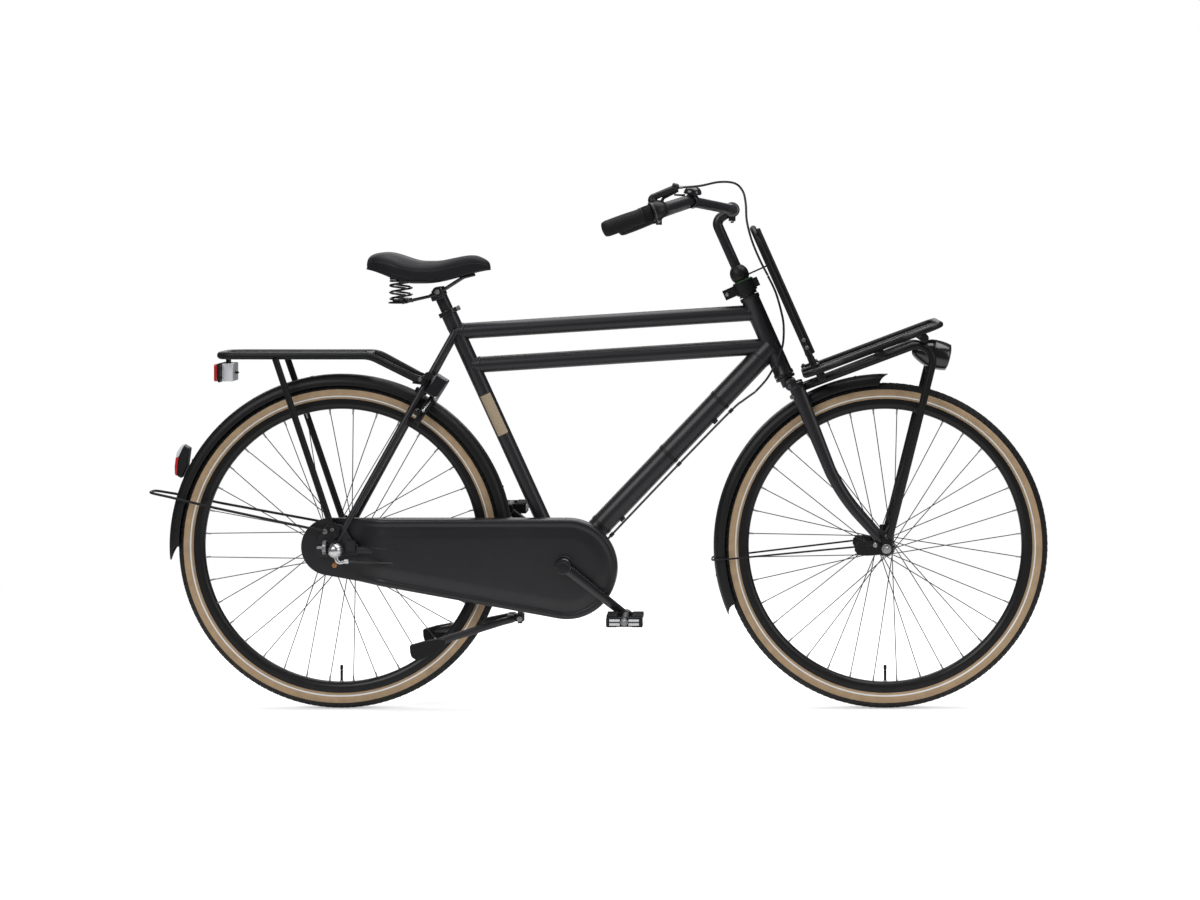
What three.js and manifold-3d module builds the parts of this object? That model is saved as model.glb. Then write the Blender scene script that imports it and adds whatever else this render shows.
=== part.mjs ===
// Dutch city bike with a wide front carrier, a full chain case and a double leg stand.
// Millimetres, +X forward, +Y to the rider's left, +Z up. Every piece is drawn with the
// rear axle at X 0 and the ground at Z 0, and the whole bike is then centred on its length.

import * as THREE from 'three';
import { mergeVertices } from 'three/addons/utils/BufferGeometryUtils.js';
import Module from 'manifold-3d';

const wasm = await Module();
wasm.setup();

// Driving dimensions

const MID_X = 557;
const WHEELBASE = 1172;
const WHEEL_R = 350.5;
const TYRE_HALF = 21;
const RIM_R = 317;
const RIM_INNER_R = 294;
const RIM_HALF = 12;
const WHEEL_STEPS = 28;
const SPOKES_A_SIDE = 18;
const CROSS_ANGLE = 60;
const SPOKE_R = 1.1;
const AXLE_R = 5;
const GAP = 0.4;

const BRACKET = { x: 485, z: 316 };
const SHELL_R = 21;
const SHELL_HALF = 34;
const SEAT_TUBE_R = 16.5;
const SEAT_TUBE_TOP = { x: 228.3, z: 856 };
const TOP_TUBE_R = 17.5;
const DOWN_TUBE_R = 24;
const HEAD_TUBE_R = 20;
const HEAD_LOW = { x: 955, z: 716.3 };
const HEAD_HIGH = { x: 878.6, z: 888 };
const STEERER_R = 14;
const QUILL_R = 11.1;
const DROPOUT_Y = 61;
const DROPOUT_T = 6;

const PITCH = 12.7;
const RING_TEETH = 38;
const SPROCKET_TEETH = 20;
const CHAIN_Y = -43;
const CRANK_LENGTH = 169.5;
const CRANK_ANGLE = -38.2;
const RIGHT_CRANK_Y = -87;
const LEFT_CRANK_Y = 72;
const PEDAL_WIDTH = 84;

const CASE_REAR = { x: -18, z: 353, r: 61 };
const CASE_FRONT = { x: 490.5, z: 307, r: 107 };
const CASE_BACK_Y = -36;
const CASE_FACE_Y = -74;
const CASE_STEP_X = 40;
const CASE_STEP_Y = -51;
const CASE_WALL = 2;

const FENDER_R = 370;
const FENDER_HALF = 27;
const FENDER_EDGE_R = 346;

const STAND_HINGE = { x: 372, z: 195 };
const LOCK_ANGLE = 58;
const LOCK_RING_R = 337;

const PAINT = { color: 0x17171a, roughness: 0.42, metalness: 0 };
const BLACK = { color: 0x161616, roughness: 0.45, metalness: 0.1 };
const RUBBER = { color: 0x1b1b1b, roughness: 0.85, metalness: 0 };
const STEEL = { color: 0xb9bcc0, roughness: 0.3, metalness: 0.9 };
const ALLOY = { color: 0x8f9296, roughness: 0.35, metalness: 0.8 };
const SPOKE = { color: 0x3a3a3d, roughness: 0.35, metalness: 0.8 };
const PLASTIC = { color: 0x1d1d1e, roughness: 0.55, metalness: 0 };
const CLEAR = { color: 0xe4e6e8, roughness: 0.1, metalness: 0 };
const LENS_RED = { color: 0x9c1014, roughness: 0.15, metalness: 0 };
const SKIN = { color: 0x202021, roughness: 0.6, metalness: 0 };

// Places worked out from the driving dimensions

const v = (x, y, z) => new THREE.Vector3(x, y, z);
const radians = THREE.MathUtils.degToRad;
const FRONT_AXLE = v(WHEELBASE, 0, WHEEL_R);
const REAR_AXLE = v(0, 0, WHEEL_R);
const BOTTOM = v(BRACKET.x, 0, BRACKET.z);
const SEAT_TOP = v(SEAT_TUBE_TOP.x, 0, SEAT_TUBE_TOP.z);
const SEAT_DIR = SEAT_TOP.clone().sub(v(475, 0, BRACKET.z)).normalize();
const HEAD_A = v(HEAD_LOW.x, 0, HEAD_LOW.z);
const HEAD_B = v(HEAD_HIGH.x, 0, HEAD_HIGH.z);
const STEER_DIR = HEAD_B.clone().sub(HEAD_A).normalize();

// A point on the steering axis at a height, pushed forward square to the axis and sideways
function steer(height, forward = 0, side = 0) {
  const along = (height - HEAD_LOW.z) / STEER_DIR.z;
  const onAxis = HEAD_A.clone().addScaledVector(STEER_DIR, along);
  return onAxis.add(v(STEER_DIR.z * forward, side, -STEER_DIR.x * forward));
}

// A point at a radius and angle about a wheel axle
function polar(centre, radius, degrees, y = 0) {
  const turn = radians(degrees);
  return v(centre.x + radius * Math.cos(turn), y, centre.z + radius * Math.sin(turn));
}

// Shape tools

function solid(shape) {
  if (!(shape instanceof THREE.BufferGeometry)) {
    return shape;
  }
  const bare = shape.clone();
  bare.deleteAttribute('normal');
  bare.deleteAttribute('uv');
  const merged = mergeVertices(bare, 1e-3);
  const place = merged.attributes.position;
  const index = merged.index.array;
  const a = new THREE.Vector3();
  const b = new THREE.Vector3();
  const c = new THREE.Vector3();
  const triangles = [];
  let volume = 0;
  for (let i = 0; i < index.length; i += 3) {
    const [p, q, r] = [index[i], index[i + 1], index[i + 2]];
    if (p === q || q === r || r === p) {
      continue;
    }
    triangles.push([p, q, r]);
    a.fromBufferAttribute(place, p);
    b.fromBufferAttribute(place, q);
    c.fromBufferAttribute(place, r);
    volume += a.dot(b.cross(c));
  }
  const facing = volume < 0 ? triangles.map(([p, q, r]) => [p, r, q]) : triangles;
  return new wasm.Manifold(new wasm.Mesh({
    numProp: 3,
    vertProperties: new Float32Array(place.array),
    triVerts: new Uint32Array(facing.flat()),
  }));
}

function join(...shapes) {
  return shapes.flat().map(solid).reduce((whole, next) => whole.add(next));
}

function cut(whole, ...tools) {
  return tools.flat().map(solid).reduce((left, tool) => left.subtract(tool), solid(whole));
}

function piece(parent, name, shape, look) {
  const mesh = solid(shape).getMesh();
  const geometry = new THREE.BufferGeometry();
  geometry.setAttribute('position', new THREE.BufferAttribute(mesh.vertProperties, 3));
  geometry.setIndex(new THREE.BufferAttribute(mesh.triVerts, 1));
  geometry.computeVertexNormals();
  const node = new THREE.Mesh(geometry, new THREE.MeshStandardMaterial(look));
  node.name = name;
  parent.add(node);
  return node;
}

// A path through corner points with each corner rounded to a radius
function bent(corners, radius, degreesAStep = 18) {
  const path = [corners[0]];
  for (let i = 1; i < corners.length - 1; i += 1) {
    const here = corners[i];
    const back = corners[i - 1].clone().sub(here);
    const ahead = corners[i + 1].clone().sub(here);
    const turn = Math.PI - back.angleTo(ahead);
    const reach = Math.min(radius * Math.tan(turn / 2), back.length() * 0.49, ahead.length() * 0.49);
    const bend = reach / Math.tan(turn / 2);
    const steps = Math.max(1, Math.round(THREE.MathUtils.radToDeg(turn) / degreesAStep));
    back.normalize();
    ahead.normalize();
    const middle = here.clone().addScaledVector(back.clone().add(ahead).normalize(),
      bend / Math.cos(turn / 2));
    const from = here.clone().addScaledVector(back, reach).sub(middle);
    const axis = from.clone().cross(here.clone().addScaledVector(ahead, reach).sub(middle)).normalize();
    for (let k = 0; k <= steps; k += 1) {
      path.push(from.clone().applyAxisAngle(axis, turn * k / steps).add(middle));
    }
  }
  path.push(corners[corners.length - 1]);
  return path;
}

// A curve whose steps land exactly on the given points
class Route extends THREE.Curve {
  constructor(points) {
    super();
    this.points = points;
  }

  getPointAt(u, target = new THREE.Vector3()) {
    return target.copy(this.points[Math.round(u * (this.points.length - 1))]);
  }

  getTangentAt(u, target = new THREE.Vector3()) {
    const last = this.points.length - 1;
    const i = Math.round(u * last);
    const back = this.points[Math.max(i, 1)].clone().sub(this.points[Math.max(i - 1, 0)]).normalize();
    const ahead = this.points[Math.min(i + 1, last)].clone()
      .sub(this.points[Math.min(i, last - 1)]).normalize();
    return target.copy(back.add(ahead).normalize());
  }
}

// A round bar or tube outline swept through points
function pipe(points, radius, sides = 8) {
  const outline = new THREE.Shape();
  for (let i = 0; i < sides; i += 1) {
    const turn = 2 * Math.PI * (i + 0.5) / sides;
    const [x, y] = [radius * Math.cos(turn), radius * Math.sin(turn)];
    if (i === 0) {
      outline.moveTo(x, y);
    } else {
      outline.lineTo(x, y);
    }
  }
  return new THREE.ExtrudeGeometry(outline, {
    steps: points.length - 1,
    bevelEnabled: false,
    extrudePath: new Route(points),
  });
}

// A closed skin over rings of points, with a fan on each end ring
function loft(rings) {
  const count = rings[0].length;
  const middle = ring => ring.reduce((sum, p) => sum.add(p), v(0, 0, 0)).divideScalar(count);
  const points = [...rings.flat(), middle(rings[0]), middle(rings[rings.length - 1])];
  const index = [];
  for (let r = 0; r < rings.length - 1; r += 1) {
    for (let i = 0; i < count; i += 1) {
      const next = (i + 1) % count;
      const [a, b] = [r * count + i, r * count + next];
      index.push(a, b, b + count, a, b + count, a + count);
    }
  }
  const top = (rings.length - 1) * count;
  for (let i = 0; i < count; i += 1) {
    const next = (i + 1) % count;
    index.push(next, i, points.length - 2, top + i, top + next, points.length - 1);
  }
  const geometry = new THREE.BufferGeometry().setFromPoints(points);
  geometry.setIndex(index);
  return geometry;
}

// An oval tube through points, with a half width sideways and a half depth at each point
function oval(points, halfWidth, halfDepth, sides = 12) {
  const route = new Route(points);
  return loft(points.map((point, k) => {
    const u = k / (points.length - 1);
    const ahead = route.getTangentAt(u);
    const side = v(0, 1, 0).addScaledVector(ahead, -ahead.y).normalize();
    const up = ahead.clone().cross(side);
    return Array.from({ length: sides }, (_, i) => {
      const turn = 2 * Math.PI * (i + 0.5) / sides;
      return point.clone().addScaledVector(side, halfWidth(u) * Math.cos(turn))
        .addScaledVector(up, halfDepth(u) * Math.sin(turn));
    });
  }));
}

// A ring turned about the Y axis from a closed outline of radius and Y pairs
function turned(outline, steps = 20, centre = v(0, 0, 0)) {
  const profile = [...outline, outline[0]].map(([r, y]) => new THREE.Vector2(r, y));
  return new THREE.LatheGeometry(profile, steps).translate(centre.x, centre.y, centre.z);
}

// The same, turned about a line from a point in a direction, with distances along it
function turnedOn(origin, direction, outline, steps = 20) {
  const turn = new THREE.Quaternion().setFromUnitVectors(v(0, 1, 0), direction);
  return turned(outline, steps).applyQuaternion(turn).translate(origin.x, origin.y, origin.z);
}

// A disc or sleeve on a line between two distances along it
function drum(origin, direction, from, to, outer, inner = 0, steps = 16) {
  const bore = inner > 0 ? [[inner, to], [inner, from]] : [[0, to], [0, from]];
  return turnedOn(origin, direction, [[outer, from], [outer, to], ...bore], steps);
}

// A flat plate standing in the XZ plane between two Y values
function plate(outline, y0, y1) {
  const shape = new THREE.Shape(outline.map(([x, z]) => new THREE.Vector2(x, z)));
  const geometry = new THREE.ExtrudeGeometry(shape, { depth: y1 - y0, bevelEnabled: false });
  return geometry.rotateX(Math.PI / 2).translate(0, y1, 0);
}

function block(x0, x1, y0, y1, z0, z1) {
  return new THREE.BoxGeometry(x1 - x0, y1 - y0, z1 - z0)
    .translate((x0 + x1) / 2, (y0 + y1) / 2, (z0 + z1) / 2);
}

// A box centred on a point, with its length along one direction and its height square to it
function bar(centre, direction, length, width, height) {
  const up = v(0, 1, 0).cross(direction).negate().normalize();
  const side = up.clone().cross(direction);
  const turn = new THREE.Matrix4().makeBasis(direction, side, up).setPosition(centre);
  return new THREE.BoxGeometry(length, width, height).applyMatrix4(turn);
}

// The outline round two circles, rear and front, as a belt would lie, grown by a margin
function beltOutline(rear, front, margin, steps) {
  const span = Math.hypot(front.x - rear.x, front.z - rear.z);
  const slope = Math.atan2(front.z - rear.z, front.x - rear.x);
  const lean = Math.acos((rear.r - front.r) / span);
  const arc = (circle, from, to) => Array.from({ length: steps + 1 }, (_, k) => {
    const turn = slope + from + (to - from) * k / steps;
    return [circle.x + (circle.r + margin) * Math.cos(turn),
      circle.z + (circle.r + margin) * Math.sin(turn)];
  });
  return [...arc(rear, lean, 2 * Math.PI - lean), ...arc(front, -lean, lean)];
}

const mirrored = list => [...list, ...[...list].reverse().map(([r, y]) => [r, -y])];

const bike = new THREE.Group();
bike.position.x = -MID_X;
const sides = [-1, 1];
const Y = v(0, 1, 0);

// Wheels

function wheel(prefix, axle, hubR, flangeR, flangeY) {
  const group = new THREE.Group();
  group.position.copy(axle);
  bike.add(group);
  const tyre = [...mirrored([[315, 7.6], [331, TYRE_HALF], [WHEEL_R, 6]]), [343, 0]];
  piece(group, `${prefix}_tyre`, turned(tyre, WHEEL_STEPS), RUBBER);
  const rim = turned([[RIM_R, -RIM_HALF], [RIM_R, -10.3], [303, 0],
    [RIM_R, 10.3], [RIM_R, RIM_HALF], [RIM_INNER_R, 5], [RIM_INNER_R, -5]], WHEEL_STEPS);
  const valve = drum(v(0, 0, 0), v(0, 0, -1), 258, RIM_INNER_R + 1, 3, 0, 6);
  piece(group, `${prefix}_rim`, join(rim, valve), BLACK);
  const tip = flangeY + 5;
  piece(group, `${prefix}_hub`, turned([[AXLE_R + GAP, -tip], [11, -tip], [11, -flangeY + 4],
    [11, -flangeY + 2.4], [hubR, -flangeY + 2.4], [hubR - 4, 0], [hubR, flangeY - 2.4],
    [11, flangeY - 2.4], [11, tip], [AXLE_R + GAP, tip]], 10), ALLOY);
  sides.forEach(side => {
    const flange = turned([[12.2, side * flangeY - 1.6], [flangeR + 2, side * flangeY - 1.6],
      [flangeR + 2, side * flangeY + 1.6], [12.2, side * flangeY + 1.6]], 8);
    const spokes = Array.from({ length: SPOKES_A_SIDE }, (_, k) => {
      const lead = k % 2 ? 1 : -1;
      const rimAngle = (side < 0 ? 5 : 15) + 360 * k / SPOKES_A_SIDE;
      const from = polar(v(0, 0, 0), flangeR - 1, rimAngle + lead * CROSS_ANGLE,
        side * flangeY + lead * 1.9);
      const to = polar(v(0, 0, 0), RIM_INNER_R - 3.4, rimAngle, side * 1.6 + lead * 0.8);
      return pipe([from, to], SPOKE_R, 3);
    });
    piece(group, `${prefix}_spokes_${side < 0 ? 'right' : 'left'}`, join(flange, spokes), SPOKE);
  });
  return group;
}

wheel('front', FRONT_AXLE, 14, 19, 33);
wheel('rear', REAR_AXLE, 27, 30, 26);

// Frame

const stayTop = side => v(247, side * 22, 812);
const stayLow = side => v(-2, side * 65, 362);
const chainStay = side => [v(470, side * 24, 318), v(400, side * 33, 321), v(42, side * 61.5, 347.3)];
const dropout = side => cut(
  plate([[-45, 336], [-30, 333], [45, 338], [45, 358], [14, 400], [-24, 400], [-45, 362]],
    side < 0 ? -DROPOUT_Y - DROPOUT_T : DROPOUT_Y, side < 0 ? -DROPOUT_Y : DROPOUT_Y + DROPOUT_T),
  drum(REAR_AXLE, Y, -80, 80, AXLE_R + GAP, 0, 10));
const DOWN_DIR = v(926.6, 0, 780.4).sub(BOTTOM).normalize();
// A point beside the down tube: along it from the crank centre, below its centre line, and sideways
const underTube = (along, below, side) => BOTTOM.clone().addScaledVector(DOWN_DIR, along)
  .add(v(DOWN_DIR.z * below, side, -DOWN_DIR.x * below));
const frameTubes = join(
  pipe([v(475, 0, BRACKET.z), SEAT_TOP], SEAT_TUBE_R, 9),
  pipe([v(247, 0, 811.2), v(895, 0, 852.3)], TOP_TUBE_R, 8),
  pipe([v(282.4, 0, 738.8), v(926, 0, 780)], TOP_TUBE_R, 8),
  pipe([BOTTOM, v(926.6, 0, 780.4)], DOWN_TUBE_R, 9),
  drum(HEAD_A, STEER_DIR, 0, HEAD_A.distanceTo(HEAD_B), HEAD_TUBE_R, 0, 12),
  drum(BOTTOM, Y, -SHELL_HALF, SHELL_HALF, SHELL_R, 0, 14),
  sides.map(side => pipe([stayTop(side), stayLow(side)], 7.5, 6)),
  sides.map(side => pipe(chainStay(side), 8, 6)),
  sides.map(side => dropout(side)),
  pipe([v(390, -34, 322), v(390, 34, 322)], 8, 6),
  block(381, 399, -14, 14, 207, 318),
  sides.map(side => block(381, 391, side * 14 - 4, side * 14 + 4, 184, 214)),
  sides.map(side => plate([[168, 701], [186, 701], [190, 718], [172, 718]],
    side < 0 ? -40 : 34, side < 0 ? -34 : 40)),
  [150, 440].map(s => bar(underTube(s, 24.3, -8), DOWN_DIR, 12, 8, 7.6)));
const seatBore = drum(SEAT_TOP, SEAT_DIR, -300, 20, 14.8, 0, 10);
const headBore = drum(HEAD_A, STEER_DIR, -20, 240, STEERER_R + 1.4, 0, 10);
const shellBore = drum(BOTTOM, Y, -60, 60, 17.8, 0, 10);
const hingeHole = drum(v(386, 0, 195), Y, -40, 40, 4.8, 0, 6);
piece(bike, 'frame', cut(frameTubes, seatBore, headBore, shellBore, hingeHole), PAINT);
const clampLug = SEAT_TOP.clone().addScaledVector(SEAT_DIR, -4).add(v(21, 0, 9.5));
piece(bike, 'seat_clamp', cut(join(drum(SEAT_TOP, SEAT_DIR, -9, 1, 21, 0, 14),
  bar(clampLug, v(SEAT_DIR.z, 0, -SEAT_DIR.x), 8, 14, 10)),
drum(SEAT_TOP, SEAT_DIR, -30, 30, SEAT_TUBE_R + 2 * GAP, 0, 14)), PAINT);
piece(bike, 'bottom_bracket', turned([[9, -33], [17.1, -33], [17.1, 33], [9, 33]], 10, BOTTOM), STEEL);
const STEER_AHEAD = v(STEER_DIR.z, 0, -STEER_DIR.x);
piece(bike, 'headset_collar', cut(join(drum(steer(889.4), STEER_DIR, 0, 8, 20, 0, 16),
  drum(steer(895), STEER_DIR, 0, 28, 23.5, 0, 16),
  bar(steer(908, -33), STEER_AHEAD, 32, 16, 22), bar(steer(908, 24), STEER_AHEAD, 16, 20, 20)),
drum(HEAD_A, STEER_DIR, 0, 300, STEERER_R + GAP, 0, 16)), PLASTIC);

// Fork, stem and handlebar

const AXIS_LOW = steer(702);
const forkCorners = side => [v(978, side * 42, 700), v(1072, side * 46, 466), v(1162, side * 53, 366)];
const forkTip = side => cut(plate([[1150, 374], [1146, 362], [1160, 338], [1180, 336], [1188, 350],
  [1176, 370]], side * 53 - 3, side * 53 + 3), drum(FRONT_AXLE, Y, -80, 80, AXLE_R + GAP, 0, 10));
const fork = join(
  drum(AXIS_LOW, STEER_DIR, -8, 236, STEERER_R, 0, 12),
  pipe([v(968, -52, 699), v(968, 52, 699)], 13, 8),
  sides.map(side => oval(bent(forkCorners(side), 400, 17), u => 11 - 4 * u, u => 16.5 - 7 * u, 7)),
  sides.map(side => forkTip(side)));
piece(bike, 'fork', cut(fork, drum(AXIS_LOW, STEER_DIR, 120, 300, QUILL_R - 0.4, 0, 10)), PAINT);
const barClamp = v(842, 0, 1074);
const quillTop = steer(1050);
const cap = turnedOn(steer(922), STEER_DIR,
  [[0, 0], [16, 0], [20.5, 9], [20.5, 19], [14, 31], [0, 33]], 12);
const capLink = pipe([steer(928, 10), steer(928, 65)], 1.8, 6);
const stem = join(
  drum(steer(830), STEER_DIR, 0, 104, QUILL_R - 1.4, 0, 8),
  pipe(bent([steer(924), quillTop, barClamp], 18, 35), QUILL_R, 8),
  drum(barClamp, Y, -19, 19, 16.5, 0, 12), cap, capLink);
piece(bike, 'stem', cut(stem, drum(barClamp, Y, -30, 30, 12.2, 0, 10)), PAINT);
const barSide = side => bent([v(842, side * 18, 1074), v(828, side * 70, 1077),
  v(752, side * 215, 1092), v(700, side * 272, 1075), v(585, side * 305, 1032)], 60, 20);
const barPath = [...barSide(-1).reverse(), ...barSide(1)];
piece(bike, 'handlebar', pipe(barPath, 11, 8), PAINT);
const gripEnd = side => v(585, side * 305, 1032);
const gripDir = side => v(700, side * 272, 1075).sub(gripEnd(side)).normalize();
const bulge = (from, to) => [[11.4, from], [16, from], [17.5, from + 14], [15.5, to - 6], [17, to],
  [11.4, to]];
const grip = (name, side, to) => piece(bike, name, cut(join(
  turnedOn(gripEnd(side), gripDir(side), bulge(-2, to), 8),
  drum(gripEnd(side), gripDir(side), -4, -0.5, 15, 0, 8)),
drum(gripEnd(side), gripDir(side), -0.4, 140, 12, 0, 8)), RUBBER);
grip('right_grip', -1, 84);
grip('left_grip', 1, 84);
piece(bike, 'shifter_grip', drum(gripEnd(-1), gripDir(-1), 84.6, 103, 17, 11.5, 14), RUBBER);
const shifterAt = gripEnd(-1).clone().addScaledVector(gripDir(-1), 110);
const outletA = shifterAt.clone().add(v(-6, 0, 27));
const outletB = v(731, -268, 1119);
const shifter = cut(join(drum(shifterAt, gripDir(-1), -6.4, 6, 21, 0, 12),
  bar(shifterAt.clone().add(v(10, 0, -21)), v(1, 0, 0), 12, 12, 14),
  pipe(bent([shifterAt, outletA, outletB], 20, 30), 5, 6)),
drum(gripEnd(-1), gripDir(-1), 60, 138, 12.5, 0, 10),
drum(outletB, v(-1, 0, 0.2).normalize(), -2, 6, 2.9, 0, 8));
piece(bike, 'shifter_body', shifter, PLASTIC);
const bellAt = v(760, -200, 1091);
const bellDir = v(0.1, -0.1, 1).normalize();
piece(bike, 'bell', cut(join(
  turnedOn(bellAt, bellDir, [[0, 16], [19, 16], [18, 24], [12, 30], [0, 32]], 10),
  drum(bellAt, bellDir, 0, 17, 6, 0, 6),
  drum(bellAt, v(752, -215, 1092).sub(v(828, -70, 1077)).normalize(), -6, 6, 15.5, 0, 8)),
drum(v(752, -215, 1092), v(828, -70, 1077).sub(v(752, -215, 1092)).normalize(), -20, 60, 12.8, 0, 8)),
BLACK);
const leverPivot = bellAt.clone().addScaledVector(bellDir, 12).add(v(-18, 6, 0));
piece(bike, 'bell_lever', join(drum(leverPivot, bellDir, -3, 3, 3, 0, 8),
  pipe([leverPivot, leverPivot.clone().add(v(-18, -12, 1))], 2.4, 6)), BLACK);

// Fenders and their wire stays

const padY = (side, low, high) => (side < 0 ? [-high, -low] : [low, high]);

function fender(centre, from, to) {
  const outline = [[FENDER_EDGE_R, -FENDER_HALF], [360, -FENDER_HALF], [FENDER_R, -14],
    [FENDER_R, 14], [360, FENDER_HALF], [FENDER_EDGE_R, FENDER_HALF],
    [FENDER_EDGE_R, FENDER_HALF - 2], [359, FENDER_HALF - 2], [FENDER_R - 2, 13],
    [FENDER_R - 2, -13], [359, 2 - FENDER_HALF], [FENDER_EDGE_R, 2 - FENDER_HALF]];
  const steps = 6;
  const rim = Array.from({ length: steps + 1 }, (_, k) => {
    const p = polar(centre, 460, from + (to - from) * k / steps);
    return [p.x, p.z];
  });
  const wedge = plate([[centre.x, centre.z], ...rim], -40, 40);
  return solid(turned(outline, 27, centre)).intersect(solid(wedge));
}

const bridge = (centre, degrees, reach) => {
  const from = polar(centre, FENDER_R - 3, degrees);
  const to = polar(centre, FENDER_R + reach, degrees);
  return bar(from.clone().add(to).multiplyScalar(0.5), to.clone().sub(from).normalize(), reach + 3, 20, 8);
};
piece(bike, 'front_fender', join(fender(FRONT_AXLE, 89, 204), bridge(FRONT_AXLE, 121, 19)), BLACK);
piece(bike, 'rear_fender', join(fender(REAR_AXLE, 2, 184.9), bridge(REAR_AXLE, 64, 8)), BLACK);
const FRONT_WIRE_R = 2;
const REAR_WIRE_R = 2.8;
const frontStay = side => bent([v(1146, side * 62, 358), polar(FRONT_AXLE, 330, 184.4, side * 33),
  polar(FRONT_AXLE, 373, 184.4, side * 31), polar(FRONT_AXLE, 374.5, 184.4, 0)], 8, 30);
const leaf = side => plate([[1170, 352], [1150, 366], [1118, 372], [1138, 352], [1160, 340]],
  side < 0 ? -62 : 59.6, side < 0 ? -59.6 : 62);
piece(bike, 'front_fender_stays', cut(join(pipe([...frontStay(-1), ...frontStay(1).reverse().slice(1)],
  FRONT_WIRE_R, 5), sides.map(side => leaf(side)),
sides.map(side => drum(v(1148, 0, 358), Y, side < 0 ? -66 : 59.6, side < 0 ? -59.6 : 66, 5, 0, 6))),
drum(FRONT_AXLE, Y, -90, 90, AXLE_R + GAP, 0, 10)), BLACK);
const rearStay = side => bent([v(-24, side * 71.5, 388), v(-266, side * 46, 436),
  v(-366, side * 34, 458), v(-408, side * 26, 466), v(-410, 0, 466)], 14, 25);
piece(bike, 'rear_fender_stays', join(
  pipe([...rearStay(-1), ...rearStay(1).reverse().slice(1)], REAR_WIRE_R, 5),
  sides.map(side => drum(v(-24, 0, 388), Y, ...padY(side, 67.4, 73), 6, 0, 6))), BLACK);

// Rear carrier and lamps

const railPath = side => bent([v(-252, side * 65, 762), v(70, side * 65, 762),
  v(168, side * 47, 711)], 60, 10);
const rearCarrier = join(
  sides.map(side => pipe(railPath(side), 8, 6)),
  sides.map(side => plate([[158, 702], [184, 698], [190, 712], [164, 722]], ...padY(side, 40.4, 48))),
  sides.map(side => pipe([v(-131, side * 69, 756), v(-2, side * 76.5, 375)], 7, 6)),
  sides.map(side => plate([[-20, 400], [-2, 408], [8, 396], [6, 378], [-10, 376], [-16, 388]],
    ...padY(side, 75, 79))),
  sides.map(side => drum(v(-8, 0, 393), Y, ...padY(side, 67.4, 81), 5, 0, 8)),
  [-244, -90, 60].map(x => pipe([v(x, -66, 762), v(x, 66, 762)], 5.5, 6)),
  block(-246, 62, -24, 24, 764, 768),
  block(-247, -241, -14, 14, 735, 764));
piece(bike, 'rear_carrier', rearCarrier, BLACK);
piece(bike, 'carrier_reflector', block(-258, -247.4, -48, 48, 704, 745), PLASTIC);
piece(bike, 'carrier_reflector_lens', block(-267, -258.4, -46, 46, 706, 743), LENS_RED);
const lampBody = plate([[-325, 520], [-343, 496], [-352, 505], [-346, 545], [-336, 566],
  [-326, 560]], -16, 16);
const fenderClear = turned([[300, -40], [FENDER_R + 0.6, -40], [FENDER_R + 0.6, 40],
  [300, 40]], 72, REAR_AXLE);
piece(bike, 'tail_lamp', cut(lampBody, fenderClear), PLASTIC);
piece(bike, 'tail_lamp_lens', plate([[-344.5, 496], [-357, 503], [-352, 552], [-340, 568], [-336.5, 566.4],
  [-346.5, 545.2], [-352.5, 505]], -15, 15), LENS_RED);

// Front carrier, upright and headlamp

const platformDir = v(1291 - 999, 0, 833 - 723).normalize();
const platformUp = v(-platformDir.z, 0, platformDir.x);
const onPlatform = (along, side, lift = 0) => v(999, side, 723)
  .addScaledVector(platformDir, along).addScaledVector(platformUp, lift);
const PLATFORM_LENGTH = 305;
const loop = bent([onPlatform(150, -125), onPlatform(0, -125), onPlatform(0, 125),
  onPlatform(PLATFORM_LENGTH, 125), onPlatform(PLATFORM_LENGTH, -125), onPlatform(150, -125)], 28, 30);
const support = side => bent([v(978, side * 19, 686), v(1285, side * 65, 804),
  v(1178, side * 66, 374)], 34, 18);
const frontCarrier = join(
  pipe(loop, 6.5, 6),
  [30, 165, 262].map(along => pipe([onPlatform(along, -125, -14), onPlatform(along, 125, -14)], 9.6, 6)),
  [-88, -44, 44, 88].map(y => bar(onPlatform(152, y, -3.5), platformDir, 298, 10, 5)),
  bar(onPlatform(152, 0, -3.5), platformDir, 298, 36, 5),
  sides.map(side => pipe(support(side), 8.2, 6)),
  sides.map(side => block(1163, 1185, ...padY(side, 63, 66.5), 340, 388)),
  bar(onPlatform(272, 0, -40), platformUp, 60, 16, 5));
const crownClear = join(drum(steer(640), STEER_DIR, 0, 300, STEERER_R + 9, 0, 16),
  drum(v(968, 0, 699), Y, -60, 60, 13.8, 0, 14));
piece(bike, 'front_carrier', cut(frontCarrier, crownClear,
  drum(FRONT_AXLE, Y, -90, 90, AXLE_R + GAP, 0, 10)), BLACK);
const hoopLow = side => steer(713, 67, side * 70);
const hoopHigh = side => steer(1006, 67, side * 70);
const hoop = bent([hoopLow(-1), hoopHigh(-1), hoopHigh(1), hoopLow(1)], 45, 20);
const panelMiddle = steer(848, 67);
const upright = join(pipe(hoop, 7, 6),
  bar(panelMiddle, STEER_DIR, 250, 136, 3),
  sides.map(side => bar(onPlatform(16, side * 70, 9.4), platformDir, 40, 20, 5)));
const platformClear = bar(onPlatform(152, 0, -10), platformDir, 420, 300, 33.8);
piece(bike, 'carrier_upright', cut(upright, platformClear), BLACK);
const lampAt = v(1308, 0, 755);
const lampDir = v(Math.cos(radians(-14)), 0, Math.sin(radians(-14)));
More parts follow.
